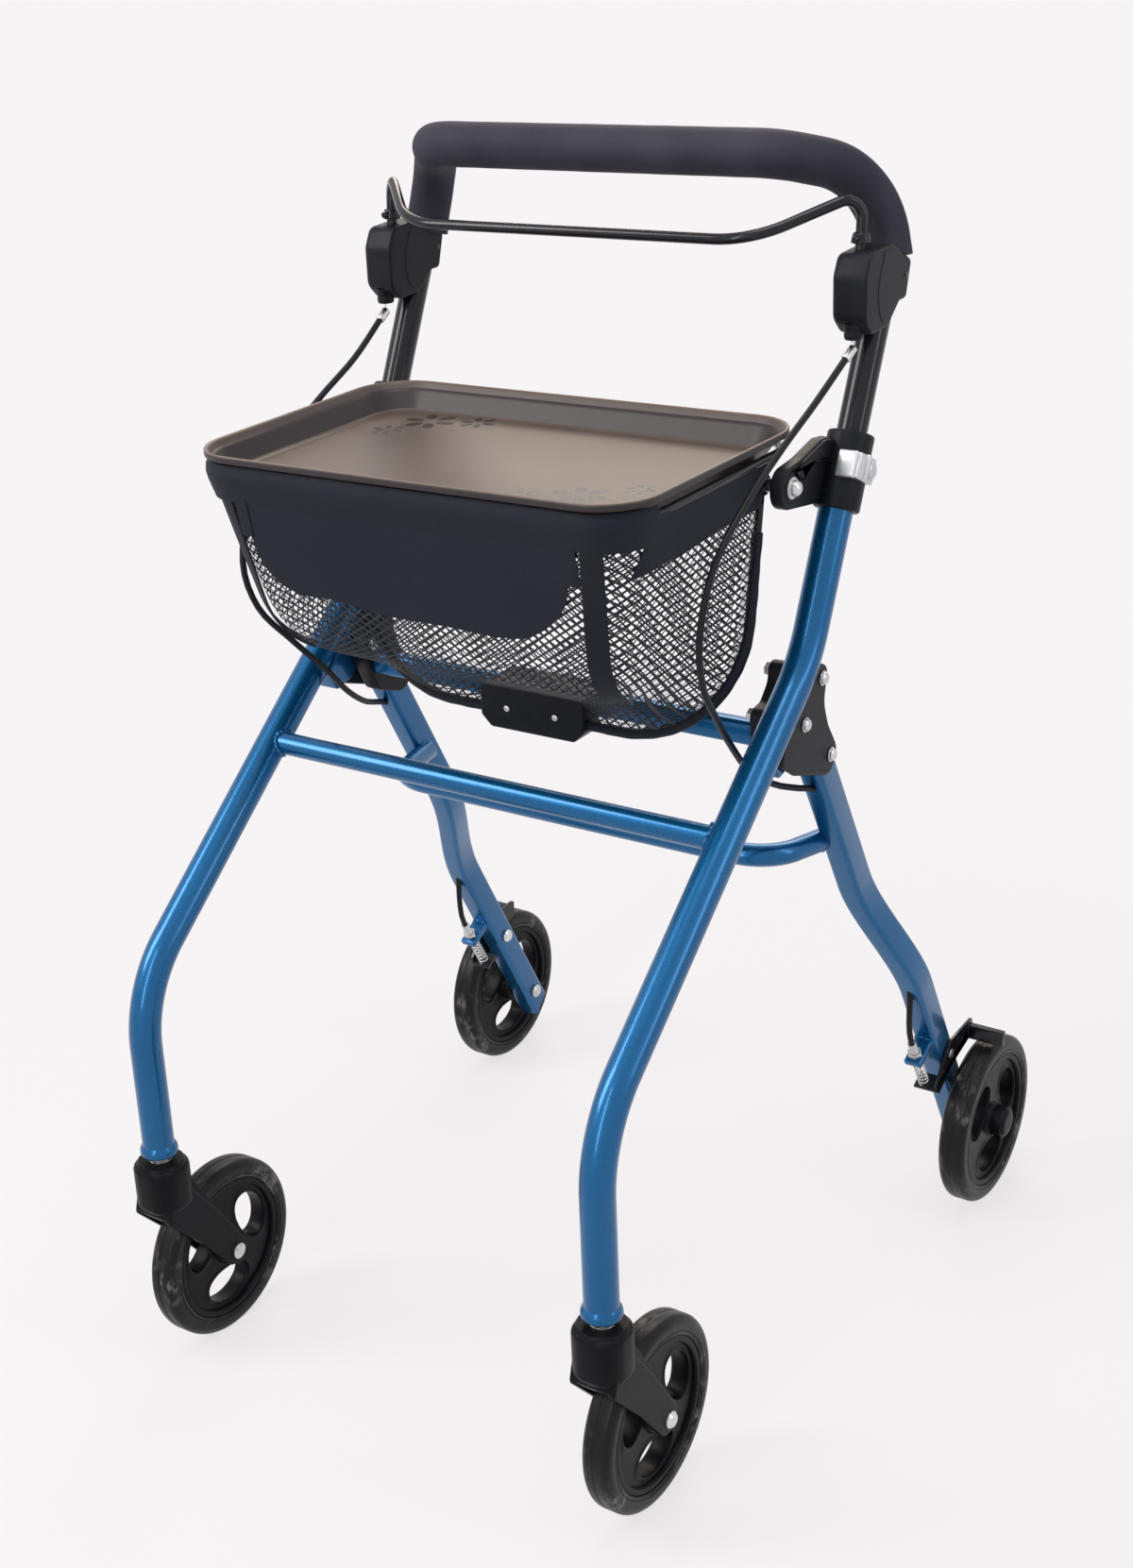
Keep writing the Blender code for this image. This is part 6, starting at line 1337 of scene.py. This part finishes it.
def make_spring(name, side):
    """A coil: the turn grows evenly while the place goes down the leg's line."""
    turns, radius = 6, 0.0042
    share = np.linspace(0, 1, 220)
    turn = share * math.tau * turns
    distance = ADJUSTER_END + 0.0012 + share * (TAB_PLACE - ADJUSTER_END - 0.0034)
    pivot = np.array((side * LEG_FOOT_X, *LEG_PIVOT))
    middle = pivot + distance[:, None] * LEG_DOWN + CABLE_OFFSET * LEG_FORWARD
    path = middle + radius * (np.cos(turn)[:, None] * LEG_FORWARD + np.sin(turn)[:, None] * ACROSS)
    ahead = heading(path)
    spoke = unit(path - middle)
    second = np.cross(ahead, spoke)
    section = ring_section(0.0006, 10)
    grid = path[:, None] + spoke[:, None] * section[None, :, :1] + second[:, None] * section[None, :, 1:]
    piece = make_piece("spring_look_" + name, [with_caps(grid)], None, "steel", ("brake_spring_" + name,))
    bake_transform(piece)


def make_collar(name, side):
    """The sleeve on the main tube's end with its cast arm, then clamp block, button and pivot bolt."""
    outward, inward = (side, 0, 0), (-side, 0, 0)
    length = COLLAR_LENGTH
    wall = softened_profile(
        ((0.0114, 0), (0.0170, 0), (0.0170, length), (0.0114, length), (0.0114, 0)), 0.0022
    )
    sleeve = turned(wall, along_handle(side, COLLAR_PLACE), HANDLE_UP, 56)
    arm = slab(outline_of(ARM_CORNERS), 0.0100, side * ARM_X, 0.0018)
    rib = slab(outline_of(RIB_CORNERS), 0.0130, side * (ARM_X + 0.0008), 0.0016)
    shape = ((0, -0.0052), (0.0112, -0.0052), (0.0112, 0.0054), (0.0098, 0.0060), (0, 0.0060))
    eye = turned(softened_profile(shape, 0.0008), (side * ARM_X, *BASKET_PIVOT), outward, 40)
    make_piece(
        "collar_look_" + name,
        [sleeve, arm, rib, eye],
        "front_frame",
        "black_plastic",
        ("height_collar_" + name,),
    )

    axes = (ACROSS * side, HANDLE_BACK, HANDLE_UP)
    middle = along_handle(side, CLAMP_PLACE)
    body = block((0.0050, -0.0172, -0.0095), (0.0192, 0.0108, 0.0095), 0.0016, axes, middle)
    ridge = block((0.0160, -0.0060, -0.0102), (0.0205, -0.0010, 0.0102), 0.0014, axes, middle)
    cheek = block((0.0020, -0.0200, -0.0098), (0.0172, -0.0155, 0.0098), 0.0016, axes, middle)
    button_line = middle + HANDLE_BACK * 0.0040
    shape = softened_profile(((0, 0), (0.0078, 0), (0.0072, 0.0010), (0, 0.0010)), 0.0004)
    ring = turned(shape, button_line + ACROSS * side * 0.0188, outward, 36)
    make_piece(
        "clamp_look_" + name,
        [body, ridge, cheek, ring],
        "front_frame",
        "zinc_block",
        ("clamp_block_" + name,),
    )
    button = turned(dome(0.00625, 0.0032, 0.0), button_line + ACROSS * side * 0.0190, outward, 36)
    make_piece(
        "button_look_" + name,
        [button],
        "height_button_" + name,
        "steel",
        ("height_button_" + name,),
        FINISH["zinc_block"],
    )

    head_x, spacer_x, nut_x = (side * x for x in PIVOT_BOLT_X)
    washer = disc(0.0080, 0, 0.0012, 0.0004, (head_x, *BASKET_PIVOT), outward, 36)
    head = turned(dome(0.0058, 0.0066, 0.0010), (head_x, *BASKET_PIVOT), outward, 32)
    nut = hex_prism(0.0052, 0.0, 0.0046, (nut_x, *BASKET_PIVOT), inward)
    spacer = disc(0.0050, 0, 0.0098, 0, (spacer_x, *BASKET_PIVOT), outward, 24)
    make_piece(
        "pivot_bolt_look_" + name,
        [washer, head, nut, spacer],
        "front_frame",
        "steel",
        ("basket_pivot_bolt_" + name,),
    )


ARM_X = 0.1936
CLAMP_PLACE = 0.1445
PIVOT_BOLT_X = (0.1988, 0.1788, 0.1723)
ARM_CORNERS = (
    ((0.3560, 0.7265), 0.003),
    ((0.3400, 0.7285), 0.008),
    ((0.3090, 0.7215), 0.030),
    ((0.2770, 0.7185), 0.014),
    ((0.2765, 0.6915), 0.014),
    ((0.3000, 0.6880), 0.030),
    ((0.3300, 0.6835), 0.030),
    ((0.3500, 0.6790), 0.003),
)
RIB_CORNERS = (
    ((0.3550, 0.7255), 0.003),
    ((0.3405, 0.7275), 0.007),
    ((0.3100, 0.7205), 0.024),
    ((0.2900, 0.7190), 0.006),
    ((0.3000, 0.7130), 0.010),
    ((0.3200, 0.7150), 0.016),
    ((0.3380, 0.7130), 0.010),
    ((0.3500, 0.7080), 0.003),
)
CHEEK_CORNERS = (
    ((-0.0120, 0.1600), 0.004),
    ((-0.0172, 0.1420), 0.005),
    ((0.0180, 0.1030), 0.030),
    ((0.0480, 0.0640), 0.010),
    ((0.0630, 0.0620), 0.009),
    ((0.0690, 0.0770), 0.009),
    ((0.0420, 0.1200), 0.030),
    ((0.0190, 0.1520), 0.008),
    ((0.0120, 0.1600), 0.004),
)
FORK_WEB_CORNERS = (
    ((-0.0120, 0.1600), 0.003),
    ((-0.0170, 0.1440), 0.003),
    ((-0.0080, 0.1345), 0.003),
    ((0.0120, 0.1480), 0.003),
    ((0.0120, 0.1600), 0.003),
)
SKIRT_SIDE = (
    (0.0184, 0.1868),
    (0.0018, 0.1868),
    (0.0, 0.1835),
    (0.0, 0.1510),
    (0.0016, 0.1480),
    (0.0184, 0.1480),
)


def make_small_parts(name, side):
    """The caster's fork with cheeks, web and skirt, and what keeps its solid's shape with soft edges."""
    softened("caster_fork_" + name, "caster_" + name, "black_plastic", 0.0012, 3, FINISH["wheel_plastic"])
    x = side * HALF_WIDTH
    cheek = outline_of(CHEEK_CORNERS)
    cheeks = [slab(cheek, 0.0060, x + lateral * 0.0158, 0.0016) for lateral in (1, -1)]
    cheeks.append(slab(outline_of(FORK_WEB_CORNERS), 0.0320, x, 0.0012))
    skirt = []
    for inset, z in softened_profile(SKIRT_SIDE, 0.0015):
        flat = oblong_section(0.0205 - inset, 0.0203 - inset, max(0.0160 - inset, 0.0015))
        skirt.append(np.column_stack((flat[:, 0] + x, flat[:, 1], np.full(len(flat), z))))
    cheeks.append(with_caps(np.array(skirt)))
    make_piece(
        "fork_cheeks_" + name, cheeks, "caster_" + name, "black_plastic", finish=FINISH["wheel_plastic"]
    )
    softened("brake_arm_" + name, "brake_arm_" + name, "black_paint", 0.0005, 2)
    softened("caster_axle_bolt_" + name, "caster_" + name, "steel", 0.0004, 2)
    for bolt in ("rear_axle_bolt_", "brake_pivot_bolt_"):
        softened(bolt + name, "rear_frame", "steel", 0.0004, 2)


# Tray, wires and bag


def loop_at(inset, z):
    """A round-cornered loop inside the tray's outer edge."""
    half_depth = (TRAY_BACK - TRAY_FRONT) / 2 - inset
    flat = oblong_section(TRAY_HALF_WIDTH - inset, half_depth, max(TRAY_CORNER - inset, 0.004), 14)
    return np.column_stack((flat[:, 0], flat[:, 1] + (TRAY_BACK + TRAY_FRONT) / 2, np.full(len(flat), z)))


TRAY_TOP = (
    (0.0480, 0.7205),
    (0.0190, 0.7205),
    (0.0160, 0.7218),
    (0.0056, 0.7366),
    (0.0030, 0.7400),
    (0.0014, 0.7412),
)
TRAY_LIP = (
    (0.0004, 0.7410),
    (0.0, 0.7402),
    (0.0, 0.7368),
    (0.0002, 0.7361),
    (0.0011, 0.7357),
    (0.0020, 0.7361),
    (0.0023, 0.7368),
)
TRAY_UNDERSIDE = (
    (0.0025, 0.7384),
    (0.0060, 0.7362),
    (0.0080, 0.7346),
    (0.0172, 0.7200),
    (0.0198, 0.7181),
    (0.0480, 0.7181),
)


def make_tray():
    """Rings from the floor's middle up the sloped side, over the lip and back under the floor; the lip's
    outer face and underside are marked for painted shade.
    """
    top = softened_profile(TRAY_TOP, 0.0022, 6)
    under = softened_profile(TRAY_UNDERSIDE, 0.002, 4)
    rows = [loop_at(inset, z) for inset, z in np.concatenate((top, TRAY_LIP, under))]
    grid = with_caps(np.array(rows))
    # The lip's outer face and underside are marked for painted shade, near black in the finish.
    rim = np.zeros(grid.shape[:2])
    rim[len(top) : -1] = 1
    make_piece("tray_look", [grid], "tray", "tray_plastic", ("tray",), sharp=50, shade_marks=rim)


def make_wires():
    """The wire loop under the tray's lip, and the wire that hangs in a U with an eye at each pivot."""
    loop = loop_at(WIRE_INSET, WIRE_LOOP_Z)[:-1]
    grids = [carried(loop, ring_section(WIRE_RADIUS, 20), UP, closed=True)]
    ends = []
    for side in (1, -1):
        pivot = np.array((side * WIRE_HALF_WIDTH, *BASKET_PIVOT))
        top = np.array((side * (TRAY_HALF_WIDTH - WIRE_INSET), BASKET_PIVOT[0], WIRE_LOOP_Z))
        ends.append([top, pivot + UP * 0.0085, np.array((side * WIRE_HALF_WIDTH, *WIRE_BOTTOM))])
    path = bent(ends[0] + ends[1][::-1], (0.010, 0.100, 0.100, 0.010), 4.0)
    grids.append(carried(path, ring_section(WIRE_RADIUS, 20), BACK))
    for side in (1, -1):
        pivot = (side * WIRE_HALF_WIDTH, *BASKET_PIVOT)
        grids.append(disc(0.0078, -0.003, 0.003, 0.0006, pivot, ACROSS, 32))
    make_piece("basket_wire_look", grids, "basket", "black_paint", ("basket_wire",))


BAG_FRONT = bent(((0.1832, 0.0943, 0.7262), (0.1465, 0.118, 0.596), (0.050, 0.2480, 0.5330)), (0.080,), 3.0)
BAG_BACK = bent(
    ((0.1790, 0.2890, 0.7250), (0.1752, 0.2560, 0.5125), (0.050, 0.2560, 0.5125)), (0.0995,), 3.0
)
BAG_LENGTH = path_length(BAG_FRONT)
BAG_FRONT_CORNER = 0.038
BAG_BACK_CORNER = 0.003
BACK_DIP = 0.0095
SEAM_STEPS = 199
RING_STEPS = 160
BAG_LEVELS = 240
PANEL_HALF = 0.135
PANEL_DROP = 0.095
PANEL_ROUND = 0.050
STRAP_PLACE = 0.156
STRAP_HALF = 0.0075
STRAP_SLANT = -0.10
STRAP_DROP = 0.165
FLAP_FRONT = 0.203
FLAP_BACK = 0.375
FLAP_SLANT = -0.62
FLAP_DROP = 0.034
TAB_DROP = 0.047


def bag_rings(drops):
    """Half rings of the bag at depths down its front seam, and the running length of each."""
    share = np.clip(np.asarray(drops) / BAG_LENGTH, 0, 1)
    at, steps = share * SEAM_STEPS, np.arange(SEAM_STEPS + 1)

    def seam_places(seam):
        """The places at these depths on a seam."""
        places = even_steps(seam, SEAM_STEPS + 1)
        return np.stack([np.interp(at, steps, places[:, axis]) for axis in range(3)], axis=-1)

    rings = []
    for front, back, part in zip(seam_places(BAG_FRONT), seam_places(BAG_BACK), share):
        room = np.linalg.norm(back - front)
        bends = (min(BAG_FRONT_CORNER, 0.45 * room), min(BAG_BACK_CORNER, 0.3 * room), 0.004)
        middle_front = np.array((0, front[1], front[2]))
        dip = BACK_DIP * (1 - part) ** 6 + 0.0003
        middle_back = np.array((0, back[1], back[2] - dip))
        beside = middle_back + ACROSS * 0.90 * back[0]
        path = bent((middle_front, front, back, beside, middle_back), bends, 5.0)
        rings.append(even_steps(path, RING_STEPS + 1))
    rings = np.array(rings)
    return rings, np.linalg.norm(np.diff(rings, axis=1), axis=2).sum(axis=1)


def place_on_bag(distances, drops):
    """Points at distances round the bag from its front's middle, at drops below its rim."""
    table, lengths = bag_rings(np.linspace(0, BAG_LENGTH, BAG_LEVELS))
    at = np.clip(drops / BAG_LENGTH, 0, 1) * (BAG_LEVELS - 1)
    low = np.minimum(at.astype(int), BAG_LEVELS - 2)
    part = (at - low)[..., None]

    def read(level):
        """The points at the distances round the rings of this level."""
        along = np.clip(np.abs(distances) / lengths[level], 0, 1) * RING_STEPS
        first = np.minimum(along.astype(int), RING_STEPS - 1)
        rest = (along - first)[..., None]
        return table[level, first] * (1 - rest) + table[level, first + 1] * rest

    points = read(low) * (1 - part) + read(low + 1) * part
    points[..., 0] *= np.where(distances < 0, -1, 1)
    return points


def bag_patch(edges, top, foot, rows, slants=(0.0, 0.0), side=1):
    """A grid from the top down to the foot's drops, one a column, between edges that slant on their way."""
    down = np.linspace(0, 1, rows)[:, None]
    over = np.linspace(0, 1, len(foot))[None]
    drops = top + down * (foot[None] - top)
    left, right = (side * (edge + slant * drops) for edge, slant in zip(edges, slants))
    return place_on_bag(left + (right - left) * over, drops)


BAG_MIDDLE = (0, 0.19, 0.64)


def cloth_patch(grid, offset, thickness):
    """A grid given a thickness: an outer and an inner skin along its normals, and four rims."""
    normal = unit(np.cross(np.gradient(grid, axis=0), np.gradient(grid, axis=1)) + 1e-12)
    away = grid - np.array(BAG_MIDDLE)
    normal = normal * np.sign((normal * away).sum(axis=2).mean())
    outer = grid + normal * (offset + thickness)
    inner = grid + normal * offset
    around = np.stack((outer, inner))
    rims = (around[:, 0], around[:, -1], around[:, :, 0], around[:, :, -1])
    return [outer, inner[:, ::-1], *rims]


def make_bag():
    """The open net shell: even places round each ring, drawn in by a slow wave and closed below.

    The map follows each panel: round the front, along the sides by how far back, and across the back.
    The cut area is twice the mean half ring times the length of the front seam.
    """
    drops = np.linspace(0, BAG_LENGTH, 70)[:, None]
    half_widths = bag_rings(drops[:, 0])[1]
    round_way = np.linspace(-1, 1, 241)[None] * half_widths[:, None]
    grid = place_on_bag(round_way, drops + 0 * round_way)
    share = drops / BAG_LENGTH
    away = grid - grid.mean(axis=1)[:, None]
    away[..., 2] = 0
    slack = np.sin(share * math.pi) * np.cos(round_way * 31 + share * 5) * NET_SLACK
    grid = grid + unit(away + 1e-9) * (slack - NET_SLACK * np.sin(share * math.pi))[..., None]
    in_front = np.abs(round_way) < STRAP_PLACE + STRAP_SLANT * drops
    width, back = np.abs(grid[..., 0]), grid[..., 1]
    near_back = back > back.max(axis=1, keepdims=True) - 0.004
    behind = near_back & (width < 0.97 * width.max(axis=1, keepdims=True))
    over = np.where(in_front, round_way, np.sign(round_way) * (back + 0.3))
    over = np.where(behind & ~in_front, grid[..., 0], over)
    down = np.where(in_front, drops, -grid[..., 2])
    lengths = np.stack((over, down), axis=-1)
    bottom = np.repeat(grid[-1].mean(axis=0)[None], grid.shape[1], axis=0)[None]
    grid = np.concatenate((grid, bottom))
    lengths = np.concatenate((lengths, lengths[-1:]))
    net = make_piece(
        "bag_net", [grid], "basket", "bag_fabric", ("basket_bag",), sharp=80, outward=False, maps=[lengths]
    )
    cut_area = float(2 * half_widths.mean() * BAG_LENGTH)
    return net, (float(2 * half_widths[0]), BAG_LENGTH), cut_area


NET_SLACK = 0.0012


def panel_foot(columns):
    """The panel's lower edge: level with a slow wave, and rising on quarter circles at both ends."""
    x = (np.linspace(0, 1, columns) * 2 - 1) * PANEL_HALF
    inside = np.clip((np.abs(x) - (PANEL_HALF - PANEL_ROUND)) / PANEL_ROUND, 0, 1)
    wave = 0.0030 * np.sin(x * 30 + 0.6) - 0.0015 * np.sin(x * 61)
    return PANEL_DROP + wave - PANEL_ROUND * (1 - np.sqrt(np.maximum(1 - inside**2, 0)))


def flap_foot(columns):
    """The flap's lower edge, which rises towards the back on a parabola."""
    return FLAP_DROP + 0.010 * (1 - np.linspace(0, 1, columns)) ** 2


def make_panels():
    """The solid front panel with its rounded foot, and on each side a flap whose front edge is slanted."""
    panel = bag_patch((-PANEL_HALF, PANEL_HALF), 0.0, panel_foot(121), 40)
    grids = cloth_patch(panel, 0.0011, 0.0012)
    for side in (1, -1):
        flap = bag_patch((FLAP_FRONT, FLAP_BACK), 0.0, flap_foot(50), 14, (FLAP_SLANT, 0.0), side)
        grids += cloth_patch(flap, 0.0011, 0.0010)
    return make_piece("bag_panels", grids, "basket", "bag_fabric", finish=PANEL, sharp=60)


HEM_RINGS = (
    (0.0042, 0.7330),
    (0.0022, 0.7300),
    (0.0017, 0.7250),
    (0.0026, 0.7205),
    (0.0042, 0.7155),
    (0.0058, 0.7110),
    (0.0070, 0.7070),
)
HEM_BACK = 0.285
SLEEVE_TOP = (0.2845, 0.672)
SLEEVE_RADIUS = 0.0041
SLEEVE_STEPS = 160


def front_part(loop, count):
    """The part of a loop round the tray that lies before its back edge, in even steps across."""
    loop = loop[:-1]
    loop = loop[loop[:, 1] < HEM_BACK]
    return even_steps(loop[np.argsort(np.arctan2(loop[:, 0], HEM_BACK - loop[:, 1]))], count)


def make_bindings():
    """Tapes: straps down the front corners, tabs beside the panel, the hem, and the wires' two sleeves."""
    grids = []
    for side in (1, -1):
        edges = (STRAP_PLACE - STRAP_HALF, STRAP_PLACE + STRAP_HALF)
        strap = bag_patch(edges, 0.004, np.full(8, STRAP_DROP), 60, (STRAP_SLANT, STRAP_SLANT), side)
        grids += cloth_patch(strap, 0.0016, 0.0014)
        edges = (PANEL_HALF - 0.002, PANEL_HALF + 0.0085)
        tab = bag_patch(edges, 0.006, np.full(6, TAB_DROP), 12, side=side)
        grids += cloth_patch(tab, 0.0019, 0.0010)
    hem = [front_part(loop_at(inset, z), 260) for inset, z in HEM_RINGS]
    grids += cloth_patch(np.array(hem), 0.0004, 0.0012)
    tapes = make_piece("bag_bindings", grids, "basket", "bag_fabric", finish=BINDING, sharp=60)
    left = ((WIRE_HALF_WIDTH, *SLEEVE_TOP), (WIRE_HALF_WIDTH, *WIRE_BOTTOM))
    route = bent(both_sides(left), (0.100, 0.100), 3.0)
    sleeve = even_steps(route, SLEEVE_STEPS)
    place = np.arange(SLEEVE_STEPS)
    folds = 1 + 0.07 * np.sin(place * 0.9) * np.sin(place * 0.37)
    section = ring_section(SLEEVE_RADIUS, 14)
    loop = front_part(loop_at(WIRE_INSET, WIRE_LOOP_Z), 200)
    grids = [carried(sleeve, section, BACK, folds), carried(loop, section, UP)]
    return tapes, make_piece("bag_sleeves", grids, "basket", "bag_fabric", finish=BINDING)


BRACKET_MIDDLE_Y = 0.2595


def make_bracket():
    """The hook bracket: a block with chamfered lower corners, a hook over the tube and two small screws."""
    half, chamfer = 0.047, 0.009
    low, high = 0.499, 0.534
    right = [((half - chamfer, low), 0.004), ((half, low + chamfer), 0.004), ((half, high), 0.003)]
    left = [((-x, z), radius) for (x, z), radius in reversed(right)]
    face = slab(outline_of(left + right), 0.024, BRACKET_MIDDLE_Y, 0.0018)[..., (1, 0, 2)]
    hook = block((-half, 0.270, 0.5215), (half, 0.2950, 0.5330), 0.0012)
    nose = block((-half, 0.2885, 0.5050), (half, 0.2950, 0.5290), 0.0012)
    make_piece("bracket_look", [face, hook, nose], "basket", "black_plastic", ("hook_bracket",))
    screws = [turned(dome(0.0026, 0.0014, 0.0), (x, 0.2474, 0.517), -BACK, 20) for x in (-0.022, 0.022)]
    make_piece("bracket_screws", screws, "basket", "steel")


for side_name, side_sign in SIDES:
    make_main_tube(side_name, side_sign)
    make_rear_leg(side_name, side_sign)
    make_hinge(side_name, side_sign)
    make_stem(side_name, side_sign)
    make_wheel(
        "caster",
        side_name,
        "caster_wheel_" + side_name,
        (side_sign * HALF_WIDTH, CASTER_TRAIL, WHEEL_RADIUS),
        side_sign,
        CASTER_HUB,
    )
    make_wheel(
        "rear",
        side_name,
        "rear_wheel_" + side_name,
        (side_sign * REAR_WHEEL_X, *REAR_AXLE),
        side_sign,
        REAR_HUB,
    )
    make_adjuster(side_name, side_sign)
    make_spring(side_name, side_sign)
    make_housing(side_name, side_sign)
    make_collar(side_name, side_sign)
    make_small_parts(side_name, side_sign)
make_cross_tubes()
make_handle()
make_brake_bar()
make_tray()
make_wires()
bag_net, bag_cut, bag_cut_area = make_bag()
bag_trims = [make_panels(), *make_bindings()]
make_bracket()
